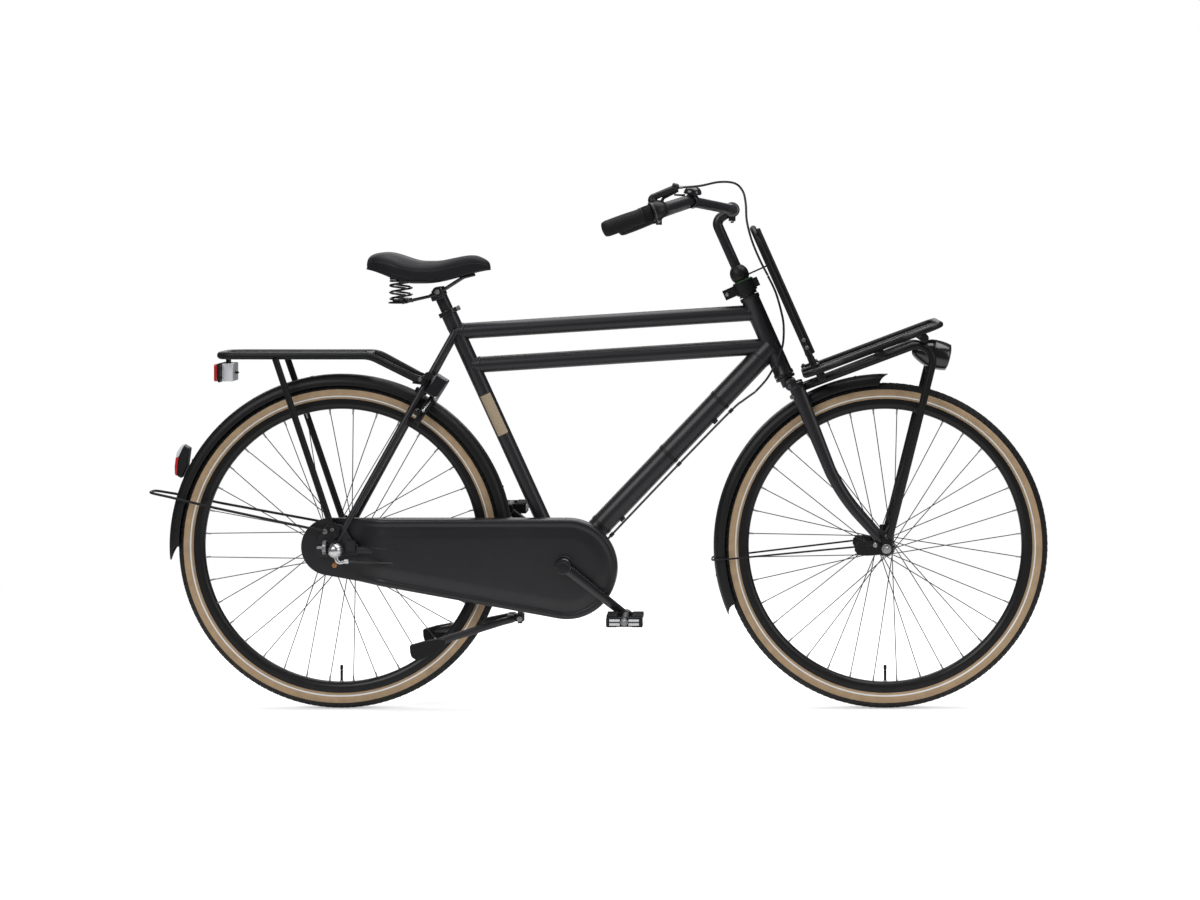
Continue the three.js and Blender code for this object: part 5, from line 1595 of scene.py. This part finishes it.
def case_trim():
    """The moulded ridge, the cable slot's rim and the block at the step"""
    skin = Skin()
    skin.box(V(30, -63, 357), X_AXIS, (20, 24, 21))
    ridge = [
        V(44, -52.8, 355.4), V(62, -59.8, 354), V(80, -68.7, 352.4), V(110, -74.9, 349.6), V(150, -75.2, 347)]
    skin.tube(smooth_path(ridge, 16), lambda u: 1.5 - 1.1 * u, 12)
    rim = [V(x, -74.6, 320.5 + lift) for x, lift in ((98, -5), (122, -3.6), (140, 0), (122, 4.6), (98, 5.6))]
    skin.tube(bent(rim, 6, 15), 0.9, 10)
    return skin


class ChainCaseBuild(bpy.types.Operator):
    """Full chain case with its beads and screws"""
    bl_idname = "city_bike.chain_case"
    bl_label = "Chain case"

    def execute(self, context):
        shell = shaped(case_skin(), "case_plastic", smooth=50)
        hubs = shaped(case_parts(), "case_plastic")
        trim = shaped(case_trim(), "case_plastic", bevel=0.0012)
        screws = bolt_skin(Skin(), V(-7.5, -51, 313.7), -Y_AXIS, 3.6, 0, 2.6)
        knurled = V(-24, -79, 354.6)
        screws.drum(knurled, X_AXIS, -4, 4, 14.6, 0, 36, 1, edge=1.0)
        screws.drum(knurled, X_AXIS, -17, -3, 3.2, 0, 20, 1, edge=0.8)
        for k in range(18):
            spot = knurled + V(0, 14.8 * cos(pi * k / 9), 14.8 * sin(pi * k / 9))
            screws.box(spot, X_AXIS, (6.6, 2.0, 1.6), 1, up=(spot - knurled).normalized())
        screws = shaped(screws, "copper dull_steel")
        fitted("chain_case", "frame", "black_paint", shell, hubs, trim, screws)
        return {"FINISHED"}


def disc_skin(centre, radius, bore, teeth, low, high):
    """A toothed disc with round spaces between its teeth"""
    rims = [radius + (-3.4, -2.4, 1.6, 3.2, 1.6, -2.4)[k % 6] for k in range(teeth * 6)]
    bores = [bore] * len(rims)
    return Skin().rings([
        [polar(centre, r, 60 * k / teeth, y) for k, r in enumerate(row)] for row,
        y in ((bores, low), (rims, low), (rims, high), (bores, high))], closed=True)


def link_skin():
    """One pair of chain links with rollers: its length runs along Z, the chain's width along X"""
    skin = Skin()
    half = PITCH / 2
    for shift, wide in ((-half, 3.7), (half, 2.7)):
        for side in (-1, 1):
            outline = []
            for end in (-1, 1):
                for k in range(7):
                    turn = pi * k / 6 + (0 if end > 0 else pi)
                    outline.append((3.6 * cos(turn), end * half + 3.6 * sin(turn)))
            low, high = sorted((side * wide, side * (wide - 0.9)))
            skin.rings([
                [V(low, y, z + shift) for y, z in outline], [V(high, y, z + shift) for y, z in outline]])
    for z in (-PITCH, 0.0):
        skin.turned(V(0, 0, z), X_AXIS, [(0, -4.3), (1.7, -4.3), (1.7, 4.3), (0, 4.3)], 10)
        skin.turned(V(0, 0, z), X_AXIS, [(0, -2), (3.4, -2), (3.4, 2), (0, 2)], 12)
    return skin


def crank_skin(side, angle, y):
    skin = Skin()
    eye = polar(BOTTOM, CRANK_LENGTH, angle, y)
    along = polar(ORIGIN, 1, angle)
    across = Y_AXIS.cross(along)
    hub = V(BOTTOM.x, y, BOTTOM.z)
    skin.drum(hub, Y_AXIS, -9, 9, 17, 9.1, 48, edge=1.6)
    skin.drum(eye, Y_AXIS, -8, 8, 13, 0, 40, edge=1.6)
    rings = []
    for k in range(13):
        share = k / 12
        spot = hub.lerp(eye, 0.06 + 0.88 * share)
        tall = 11.4 - 2.6 * share
        wide = 7.6 - 0.6 * share
        ring = []
        for q, (a, b) in enumerate(((1, 1), (-1, 1), (-1, -1), (1, -1))):
            for t in range(5):
                turn = pi / 2 * (q + t / 4)
                ring.append(spot + across * (a * (tall - CRANK_CORNER) + CRANK_CORNER * cos(turn))
                    + Y_AXIS * (b * (wide - CRANK_CORNER) + CRANK_CORNER * sin(turn)))
        rings.append(ring)
    skin.rings(rings)
    out = V(0, side, 0)
    cap_at = hub + out * 9
    skin.turned(cap_at, out, [(0, 0), (10.4, 0), (10.6, 1.4), (8.6, 3.0), (4, 3.4), (0, 3.4)], 36, 1)
    near, far = abs(y) + 8, abs(y) + 88
    skin.drum(V(eye.x, 0, eye.z), Y_AXIS, *sided(side, near, far), 5, 0, 24, 2)
    skin.drum(V(eye.x, 0, eye.z), Y_AXIS, *sided(side, near, near + 3.4), 8.6, 0, 6, 2)
    return skin


def pedal_parts(side, angle, y):
    """Body, rubber blocks and reflectors of a pedal"""
    at = polar(BOTTOM, CRANK_LENGTH, angle)
    near = abs(y) + 12
    far = near + 84
    cage = Skin()
    cage.drum(at, Y_AXIS, *sided(side, near, far), 10, 5.4, 36, edge=1.0)
    for start, stop in ((near, near + 4), (far - 4, far)):
        outline = [(at.x + x * a, at.z + z * b) for a, b, ends in (
            (-1, -1, 1), (1, -1, -1), (1, 1, 1), (-1, 1, -1)) for x, z in ((38, 8), (34, 10))[::ends]]
        cage.plate(outline, *sided(side, start, stop))
    cage.drum(at, Y_AXIS, *sided(side, far - 3, far + 0.8), 9.0, 0, 36, 1, edge=1.6)
    cage.drum(at, Y_AXIS, *sided(side, far, far + 6), 5.6, 0, 28, 1, edge=2.4)
    blocks = Skin()
    lenses = Skin()
    for way in (-1, 1):
        low, high = sided(side, near + 5, far - 5)
        middle = V(at.x + way * 27, (low + high) / 2, at.z)
        blocks.box(middle, Y_AXIS, (high - low, 20, 22), up=Z_AXIS)
        for k in range(8):
            spot = low + (high - low) * (k + 0.5) / 8
            for face in (-1, 1):
                blocks.box(V(middle.x, spot, at.z + face * 11.2), X_AXIS, (22, 5.4, 1.6), up=Z_AXIS)
        lenses.box(V(at.x + way * 37.6, (low + high) / 2, at.z), Y_AXIS, (60, 2.2, 13), up=Z_AXIS)
        for lift in (-4.6, 3.4):
            lenses.box(V(at.x + way * 20, side * (far + 0.4), at.z + lift), X_AXIS, (22, 2.0, 5.4), up=Z_AXIS)
    return cage, blocks, lenses


class DriveBuild(bpy.types.Operator):
    """Chain, chainring, sprocket, cranks and pedals"""
    bl_idname = "city_bike.drive"
    bl_label = "Drive"

    def execute(self, context):
        self.chain()
        spindle = Skin().drum(BOTTOM, Y_AXIS, -78, 78, 8.4, 0, 36, edge=0.8)
        spindle.drum(BOTTOM, Y_AXIS, -48, -40, 20, 8.4, 40, edge=0.6)
        arms = Skin()
        for k in range(5):
            way = polar(ORIGIN, 1, 72 * k + 20)
            arms.box(BOTTOM + V(0, CHAIN_Y, 0) + way * 36, way, (46, 4.6, 12))
        ring = shaped(disc_skin(BOTTOM, RING_R, 54, 38, CHAIN_Y - 1.3, CHAIN_Y + 1.3), "gloss_black")
        spindle = shaped(spindle, "dull_steel")
        arms = shaped(arms, "gloss_black", bevel=0.0008)
        fitted("chainring", "crankset", "black_paint", ring, spindle, arms)
        cog = disc_skin(REAR, SPROCKET_R, 15, 20, CHAIN_Y - 1.3, CHAIN_Y + 1.3)
        cog.turned(REAR, Y_AXIS, [(6, -45), (17, -45), (17, -40), (6, -40)], 40)
        fitted("sprocket", "driver", "steel", shaped(cog, "dull_steel"))
        for side, word, angle, y in ((-1, "right", CRANK_ANGLE, -87), (1, "left", CRANK_ANGLE + 180, 72)):
            arm = shaped(crank_skin(side, angle, y), "gloss_black plastic dull_steel", smooth=30)
            fitted(f"{word}_crank", "crankset", "black_paint", arm)
            cage, blocks, lenses = pedal_parts(side, angle, y)
            cage = shaped(cage, "plastic dull_steel", bevel=0.0008)
            blocks = shaped(blocks, "rubber", bevel=0.0006)
            lenses = shaped(lenses, "reflector_clear", bevel=0.0006)
            fitted(f"{word}_pedal", f"{word}_pedal", "rubber", cage, blocks, lenses)
        return {"FINISHED"}

    def chain(self):
        path = ring_at(belt_outline((0, AXLE_Z, SPROCKET_R), (BOTTOM.x, BOTTOM.z, RING_R), 0.0, 40), CHAIN_Y)
        path.append(path[0].copy())
        total = sum((b - a).length for a, b in zip(path, path[1:]))
        links = round(total / (2 * PITCH))
        chain = path_copies(link_skin(), path, total / 1000 / links * 0.99999, "dull_steel")
        fitted("chain", "frame", "steel", chain)


# Axle ends, shift guide and brake arm


def nut_skin(skin, at, way, radius, tall, look=0):
    """A domed axle nut with its washer and the axle's end"""
    skin.drum(at, way, 0, 1.4, radius + 1.6, 0, 36, look, edge=0.4)
    turn = Y_AXIS.rotation_difference(way.normalized())
    rings = []
    for y, grow in ((1.4, 1.0), (tall - 1.6, 1.0), (tall, 0.9)):
        rings.append([
            at + turn @ V(radius * grow * cos(pi / 3 * i + 0.3), y, radius * grow * sin(pi / 3 * i + 0.3))
            for i in range(6)])
    skin.rings(rings, look)
    skin.drum(at, way, tall - 0.5, tall + 2.4, 4.8, 0, 24, look, edge=0.8)
    return skin


class AxleEndsBuild(bpy.types.Operator):
    """Axles, nuts, brake arm and the shift guide"""
    bl_idname = "city_bike.axle_ends"
    bl_label = "Axle ends"

    def execute(self, context):
        skin = Skin().drum(FRONT, Y_AXIS, -73, 73, 4.9, 0, 24)
        for side in (-1, 1):
            nut_skin(skin, FRONT + V(0, side * 66.6, 0), V(0, side, 0), 8.6, 5.6)
            skin.drum(FRONT, Y_AXIS, *sided(side, 39, 49), 8, 0, 32, edge=0.6)
        fitted("front_axle", "steering", "steel", shaped(skin, "steel"))
        skin = Skin().drum(REAR, Y_AXIS, -75, 75, 4.9, 0, 24)
        for side in (-1, 1):
            nut_skin(skin, REAR + V(0, side * 67.2, 0), V(0, side, 0), 8.8, 5.8)
        skin.drum(REAR, Y_AXIS, -60.6, -46, 9, 0, 32, edge=0.6)
        arm = Skin()
        arm.plate([(-14, 338), (14, 334), (150, 324), (152, 334), (14, 368), (0, 371), (-14, 364),
            (-18, 351)], 50, 54)
        arm.box(V(144, 53, 331), X_AXIS, (12, 10, 26))
        arm = shaped(arm, "frame_paint", bevel=sizes().edge_round)
        bolt = shaped(bolt_skin(Skin(), V(144, 58, 331), Y_AXIS, 3.2), "dull_steel")
        axle = shaped(skin, "steel")
        fitted("rear_axle", "frame", "steel", axle, arm, bolt)
        self.guide()
        return {"FINISHED"}

    def guide(self):
        nut = V(-1, 0, 349)
        skin = Skin()
        dome = [(5.6, 73.6), (13, 73.6), (16.2, 76), (17, 80), (16.6, 84), (14.6, 89), (11.6, 92.6),
                (8, 95.6), (5.4, 96.8), (0, 97)]
        skin.turned(nut, -Y_AXIS, dome, 48, 1)
        for k in range(10):
            spot = polar(nut, 16.4, 36 * k, -79)
            skin.box(spot, Y_AXIS, (6.5, 1.6, 1.4), up=(spot - V(nut.x, -79, nut.z)).normalized())
        arm = bent([V(0, -84, 340), V(4, -86, 322), V(22, -85, 326)], 8, 12)
        skin.tube(arm, lambda u: 4.6 - 0.9 * u, 24, 1, round_end=1.0)
        skin.turned(V(22, -85, 326), X_AXIS, [(2.5, -2), (5.2, -2), (5.2, 5), (4.4, 6), (2.5, 6)], 28, 1)
        fitted("shift_guide", "frame", "steel", shaped(skin, "plastic steel"))


# Stand


class StandBuild(bpy.types.Operator):
    """Double leg stand, folded back under the frame"""
    bl_idname = "city_bike.stand"
    bl_label = "Stand"

    def execute(self, context):
        skin = Skin()
        skin.drum(V(386, 0, 195), Y_AXIS, -26, 26, 4, 0, 28, 1)
        feet = Skin()
        for side in (-1, 1):
            leg = bent([V(372, side * 24, 195), V(352, side * 34, 191), V(225, side * 92, 158),
                V(184, side * 112, 148)], 30, 7)
            skin.tube(leg, lambda u: 8.0 - 0.6 * u, 28, round_end=2)
            feet.plate([(162, 152), (163, 138), (166, 128), (174, 123), (185, 122), (200, 130), (217, 140),
                 (234, 152), (237, 158), (236, 163), (230, 166), (222, 166), (190, 160)],
                *sided(side, 102, 122))
            for k in range(4):
                feet.box(V(176 + 12 * k, side * 112, 122.6 + 6.2 * k), V(1, 0, 0.55), (3.4, 18, 3.0))
            bolt_skin(skin, V(386, side * 26, 195), V(0, side, 0), 3.8, 1, 3.0)
        blocks = Skin()
        blocks.box(V(365.3, 0, 195), X_AXIS, (14.6, 56, 16))
        blocks.box(V(378, 0, 195), X_AXIS, (32, 19.2, 16))
        legs = shaped(skin, "frame_paint dull_steel")
        blocks = shaped(blocks, "frame_paint", bevel=sizes().edge_round)
        feet = shaped(feet, "rubber", bevel=0.0022)
        fitted("stand_legs", "stand", "frame_paint", legs, blocks, feet, name="stand_full")
        return {"FINISHED"}


# Ring lock

LOCK_TURN = radians(58)
LOCK_OUT = V(cos(LOCK_TURN), 0, sin(LOCK_TURN))
LOCK_AXIS = V(-LOCK_OUT.z, 0, LOCK_OUT.x)
LOCK_AT = polar(REAR, 337.0, 58)


def lock_point(radius, degrees, lift=0.0):
    turn = radians(degrees)
    spot = LOCK_AT + LOCK_OUT * radius * sin(turn) + LOCK_AXIS * lift
    return V(spot.x, radius * cos(turn), spot.z)


class LockBuild(bpy.types.Operator):
    """Ring lock with its shackle and key"""
    bl_idname = "city_bike.lock"
    bl_label = "Ring lock"

    def execute(self, context):
        outline = [
            (57, 3.6), (57, 5.6), (56.2, 6.6), (55, 7), (48, 7), (46.8, 6.6), (46, 5.6), (46, -5.6),
            (46.8, -6.6), (48, -7), (55, -7), (56.2, -6.6), (57, -5.6), (57, -3.6), (56, -3.6), (56, -5),
            (46.7, -5), (46.7, 5), (56, 5), (56, 3.6)]
        rings = [[lock_point(r, -31 + 242 * k / 60, a) for r, a in outline] for k in range(61)]
        ring = shaped(Skin().rings(rings), "plastic", smooth=50)
        middle = LOCK_AT + LOCK_OUT * 67 + LOCK_AXIS * 4 - Y_AXIS * 37
        box = Skin().box(middle, LOCK_OUT, (46, 46, 30))
        for side in (-1, 1):
            at = LOCK_AT + LOCK_AXIS * 11
            box.box(V(at.x, side * 51, at.z), LOCK_AXIS, (10, 8, 16))
        box = shaped(box, "gloss_black", bevel=0.0028)
        key_at = LOCK_AT + LOCK_OUT * 78 - Y_AXIS * 50
        barrel = Skin().drum(key_at, LOCK_AXIS, 17.4, 20.4, 7.4, 4.0, 40, 0, edge=0.8)
        barrel.turned(V(210, -59.4, 670.5), -Y_AXIS, [(0, 0), (4.6, 0), (4.4, 1.4), (3.2, 2.2), (0, 2.4)], 24)
        barrel = shaped(barrel, "dull_steel")
        fitted("lock_body", "frame", "plastic", ring, box, barrel, name="lock_full")
        arc = [lock_point(51, -4 + 176 * k / 48) for k in range(49)]
        bar = Skin().tube(arc, 3.6, 20, round_end=1.2)
        knob = lock_point(51, 171)
        out = (knob - LOCK_AT).normalized()
        bar.tube([knob, knob + out * 6, knob + out * 12.2], 2.9, 20, 0, round_end=0.8)
        fitted("lock_shackle", "lock_shackle", "steel", shaped(bar, "steel"))
        key = Skin().drum(key_at, LOCK_AXIS, 3, 21, 3.5, 0, 24, edge=0.5)
        blade = Skin()
        centre = key_at + LOCK_AXIS * 30
        across = Y_AXIS.cross(LOCK_AXIS).normalized()
        blade.rings([oval_ring(centre + Y_AXIS * y, LOCK_AXIS, across, 10, 8, 20) for y in (-1.5, 1.5)], 1)
        key = shaped(key, "dull_steel")
        blade = shaped(blade, "dull_steel plastic", bevel=0.0006)
        fitted("lock_key", "lock_key", "steel", key, blade)
        return {"FINISHED"}


# Saddle

RAIL_CLAMP = SEAT_TOP + SEAT_DIR * 45
SPRING_SPOT = (128.0, 46.0)
SPRING_LOW = 880.6
SPRING_HIGH = 921.4
CUSHION_REAR = 56.0
CUSHION_NOSE = 321.0


def spring_at(side, height):
    return V(SPRING_SPOT[0], side * SPRING_SPOT[1], height)


def eased(t):
    return t * t * (3 - 2 * t)


def blend_at(x, start, stop):
    return eased(min(1.0, max(0.0, (x - start) / (stop - start))))


def cushion_half(x):
    return 90 + (30 - 90) * blend_at(x, 120, 262)


def cushion_top(x):
    return 984 - 20 * blend_at(x, 95, 182) + 12 * blend_at(x, 200, 281) - 8 * blend_at(x, 285, 321)


def cushion_low(x):
    return 945 - 30 * blend_at(x, 48, 160) + 30 * blend_at(x, 182, 340)


def end_round(along, rear, nose, power):
    """How far a section closes near the cushion's ends"""
    edge = abs(2 * along - 1) ** (rear if along < 0.5 else nose)
    return max(max(0.0, 1 - edge) ** power, 0.12)


def cushion_place(share, turn, inset=0.0):
    """A point on the cushion skin: share from rear to nose, turn round the cross section"""
    reach = CUSHION_NOSE - CUSHION_REAR - 2 * inset
    x = CUSHION_REAR + inset + reach * (1 - cos(pi * share)) / 2
    along = (x - CUSHION_REAR) / (CUSHION_NOSE - CUSHION_REAR)
    half = (cushion_half(x) - inset) * end_round(along, 3.2, 4.5, 0.42)
    tall = end_round(along, 7, 14, 0.5)
    low, top = cushion_low(x), cushion_top(x)
    middle = low + (top - low) * (0.12 + 0.33 * tall)
    rise = (top - middle) * (0.1 + 0.9 * tall)
    drop = middle - low
    c, s = cos(turn), sin(turn)
    across = math.copysign(abs(c) ** 0.62, c)
    height = rise * s ** 0.8 if s > 0 else -drop * (-s) ** 0.35
    tuck = 1 - 0.1 * (-s) ** 0.5 if s < 0 else 1.0
    return V(x, half * across * tuck, middle + height)


def cushion_skin():
    stations, points = 56, 72
    turns = [2 * pi * i / points for i in range(points)]
    rings = [[cushion_place(k / stations, turn) for turn in turns] for k in range(stations + 1)]
    for ring in rings:
        for i, p in enumerate(ring):
            up = sin(turns[i])
            if up > 0.55:
                groove = math.exp(-(p.y / 7.0) ** 2) * blend_at(p.x, 84, 120) * (1 - blend_at(p.x, 236, 276))
                p.z -= 3.2 * groove * (up - 0.55) / 0.45
    skin = Skin().rings(rings, caps=False)
    for ring in (rings[0], rings[-1]):
        middle = sum(ring, ORIGIN) / len(ring)
        skin.rings([[middle + (p - middle) * grow for p in ring] for grow in (1, 0.6, 0.2)])
    return skin


def edge_loop(turn, count, grow=0.0):
    """A closed loop round the cushion: out along one side, and back along the other"""
    out = [(k, turn) for k in range(count + 1)]
    back = [(k, 180 - turn) for k in range(count, -1, -1)]
    loop = [cushion_place(0.045 + 0.91 * k / count, radians(angle)) for k, angle in out + back]
    return [V(p.x, p.y + math.copysign(grow, p.y), p.z) for p in loop]


class SaddleBuild(bpy.types.Operator):
    """Seat post, rails, springs, saddle base and padded cushion"""
    bl_idname = "city_bike.saddle"
    bl_label = "Saddle"

    def execute(self, context):
        self.post()
        self.rails()
        self.springs()
        self.base()
        self.cushion()
        return {"FINISHED"}

    def post(self):
        skin = Skin()
        skin.tube([SEAT_TOP - SEAT_DIR * 180, SEAT_TOP, SEAT_TOP + SEAT_DIR * 36], 13.6, 40)
        skin.drum(SEAT_TOP, SEAT_DIR, 34, 53, 15.5, 0, 48, edge=1.6)
        post = shaped(skin, "frame_paint")
        fitted("seat_post", "seat", "frame_paint", post)

    def rails(self):
        corners = [V(138, 45, 875.5), V(198, 30, 889), V(226, 16, 905), V(262, 12, 928), V(286, 12, 934)]
        skin = Skin()
        for side in (-1, 1):
            path = bent([V(p.x, p.y * side, p.z) for p in corners], 20, 8)
            skin.tube(path, 3.5, 20, round_end=1)
            skin.drum(spring_at(side, 873), Z_AXIS, 0, 4, 21, 0, 48, edge=1.2)
            skin.drum(spring_at(side, 876), Z_AXIS, 0, 5.4, 12, 0, 36, edge=1.2)
            nut_skin(skin, V(RAIL_CLAMP.x, side * 25.4, RAIL_CLAMP.z), V(0, side, 0), 6.8, 5.4, 1)
        skin.tube([V(138, -46, 875), V(138, 0, 875), V(138, 46, 875)], 3.4, 20)
        skin.drum(RAIL_CLAMP, Y_AXIS, -27, 27, 7, 0, 32)
        wires = shaped(skin, "gloss_black dull_steel")
        jaws = Skin()
        tilt = V(0.94, 0, 0.34).normalized()
        for side in (-1, 1):
            jaws.box(V(RAIL_CLAMP.x - 2, side * 23, RAIL_CLAMP.z - 8), tilt, (26, 12, 18))
            jaws.drum(V(RAIL_CLAMP.x, side * 23, RAIL_CLAMP.z), Y_AXIS, -6.2, 6.2, 11.5, 0, 40)
        jaws = shaped(jaws, "gloss_black", bevel=0.0014)
        fitted("saddle_rails", "seat", "black_paint", wires, jaws)

    def springs(self):
        turns, step = 3.5, 26
        count = round(turns * step)
        for side, word in SIDES:
            path = []
            for k in range(count + 1):
                turn = 2 * pi * k / step
                u = k / count
                rise = min(1.0, max(0.0, (u - 0.07) / 0.86))
                soft = rise - 0.02 * sin(2 * pi * rise)
                z = SPRING_LOW + (SPRING_HIGH - SPRING_LOW) * (0.03 * u + 0.97 * soft)
                barrel = 17.3 - 1.1 * (2 * u - 1) ** 2
                path.append(V(SPRING_SPOT[0] + barrel * cos(turn),
                    side * (SPRING_SPOT[1] + barrel * sin(turn)), z))
            coil = shaped(Skin().tube(path, 2.3, 14, round_end=0.6), "gloss_black")
            fitted(f"saddle_spring_{word}", "seat", "black_paint", coil)
            foot = metres(spring_at(side, 877))
            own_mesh(coil)

    def base(self):
        skin = Skin()
        count = 40
        loop = []
        for sign in (1, -1):
            run = range(count + 1) if sign > 0 else range(count, -1, -1)
            for k in run:
                p = cushion_place(k / count, 0.0, 11.0)
                loop.append((p.x, abs(p.y) * sign * 0.985))
        thick = [(943.4, 0.97), (944.5, 1.0), (947.9, 1.0), (948.5, 0.99)]
        middle = sum(x for x, y in loop) / len(loop)
        skin.rings([[V(middle + (x - middle) * grow, y * grow, z) for x, y in loop] for z, grow in thick])
        for side in (-1, 1):
            foot = spring_at(side, 924)
            skin.turned(foot, Z_AXIS, [(0, 0), (17, 0), (18, 1), (18, 5), (15, 7), (14, 18), (0, 18)], 44)
        skin.box(V(269, 0, 941), X_AXIS, (14, 20, 8))
        base = shaped(skin, "plastic")
        fitted("saddle_base", "saddle_top", "plastic", base)

    def cushion(self):
        pad = shaped(cushion_skin(), "saddle_cover", smooth=180)
        fitted("saddle", "saddle_top", "saddle_skin", pad, name="saddle_cushion")
        piping = shaped(Skin().tube(edge_loop(-24, 60, 0.4), 1.5, 12), "saddle_cover", smooth=180)
        thread = Skin().tube([V(0, 0, -1.5), V(0, 0.28, 0), V(0, 0, 1.5)], 0.42, 8)
        line = edge_loop(8, 60, 0.15)
        pitch = sizes().stitch_length
        stitches = path_copies(thread, line, pitch, "thread")
        fitted("", "saddle_top", "saddle_skin", piping, stitches, name="saddle_seams")


# Cables

CABLE_R = 2.4


def cable_paths():
    bar = [
        V(735.6, -268, 1118.2), V(777, -230, 1122), V(816, -165, 1131), V(849, -120, 1129), V(866, -95, 1112),
        V(872, -76, 1085), V(874, -58, 1050), V(884, -46, 1010), V(901, -40, 968), V(919, -38, 933)]
    loop = [V(919, -38, 932.2), V(936, -36, 896), V(949, -35, 850), V(953, -34, 821), V(951, -33, 784),
            V(940, -30, 752), V(918, -24, 712), V(893, -14, 683)]
    low = [V(892.2, -13.6, 682), along_down(515, 37, -11), along_down(480, 33, -10), along_down(320, 31, -10),
           along_down(110, 31, -10), V(500, -12, 284), V(450, -26, 287), V(406, -31, 294), V(384, -45, 300),
           V(356, -57, 303), V(250, -64, 311), V(150, -67, 316), V(112, -75, 321), V(80, -82, 323),
           V(40, -85, 325), V(27, -85, 325)]
    return bar, loop, low


class CablesBuild(bpy.types.Operator):
    """Shift cable from the bar to the rear axle"""
    bl_idname = "city_bike.cables"
    bl_label = "Cables"

    def execute(self, context):
        bar, loop, low = cable_paths()
        upper = Skin().tube(smooth_path(bar, 60), CABLE_R, 16)
        upper.turned(bar[0], (bar[1] - bar[0]).normalized(), [(2.2, -2), (3.3, -2), (3.3, 9), (2.2, 9)], 20,
            1)
        fitted("shift_cable_bar", "steering", "plastic", shaped(upper, "jacket dull_steel"))
        free = shaped(Skin().tube(smooth_path(loop, 60), CABLE_R, 16), "jacket")
        free.name = free.data.name = "shift_cable_loop_full"
        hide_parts("shift_cable_loop")
        Vector(metres(loop[-1]))
        Vector(metres(loop[0]))
        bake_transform(free)
        lower = Skin().tube(smooth_path(low, 120), CABLE_R, 16)
        for along in (480, 320, 110):
            at = along_down(along, 31 if along < 400 else 33, -10)
            lower.turned(at, DOWN_DIR, mirrored([(2.3, 5), (4.0, 5)]), 20, 1)
        fitted("shift_cable", "frame", "plastic", shaped(lower, "jacket plastic"))
        return {"FINISHED"}


# The panel, and the order of the work

BUILDERS = (
    StageBuild, WheelsBuild, FrameBuild, SteeringBuild, ControlsBuild, FendersBuild, RearCarrierBuild,
    FrontCarrierBuild, HeadlampBuild, ChainCaseBuild, DriveBuild, AxleEndsBuild, StandBuild, LockBuild,
    SaddleBuild, CablesBuild)


class CityBikePanel(bpy.types.Panel):
    """Buttons for each group of pieces, with their sizes and colours"""
    bl_idname = "VIEW3D_PT_city_bike"
    bl_label = "City Bike"
    bl_space_type = "VIEW_3D"
    bl_region_type = "UI"
    bl_category = "City Bike"

    def draw(self, context):
        layout = self.layout
        for group in (context.scene.bike_sizes, context.scene.bike_colours):
            box = layout.box()
            for name in group.bl_rna.properties.keys():
                if name not in ("rna_type", "name"):
                    box.prop(group, name)
        for builder in BUILDERS:
            layout.operator(builder.bl_idname)


CLASSES = (BikeSizes, BikeColours, *BUILDERS, CityBikePanel)


def register():
    for item in CLASSES:
        bpy.utils.register_class(item)
    bpy.types.Scene.bike_sizes = bpy.props.PointerProperty(type=BikeSizes)
    bpy.types.Scene.bike_colours = bpy.props.PointerProperty(type=BikeColours)


def unregister():
    del bpy.types.Scene.bike_colours
    del bpy.types.Scene.bike_sizes
    for item in reversed(CLASSES):
        bpy.utils.unregister_class(item)


def main():
    register()
    for builder in BUILDERS:
        group, call = builder.bl_idname.split(".")
        getattr(getattr(bpy.ops, group), call)()


if __name__ == "__main__":
    main()
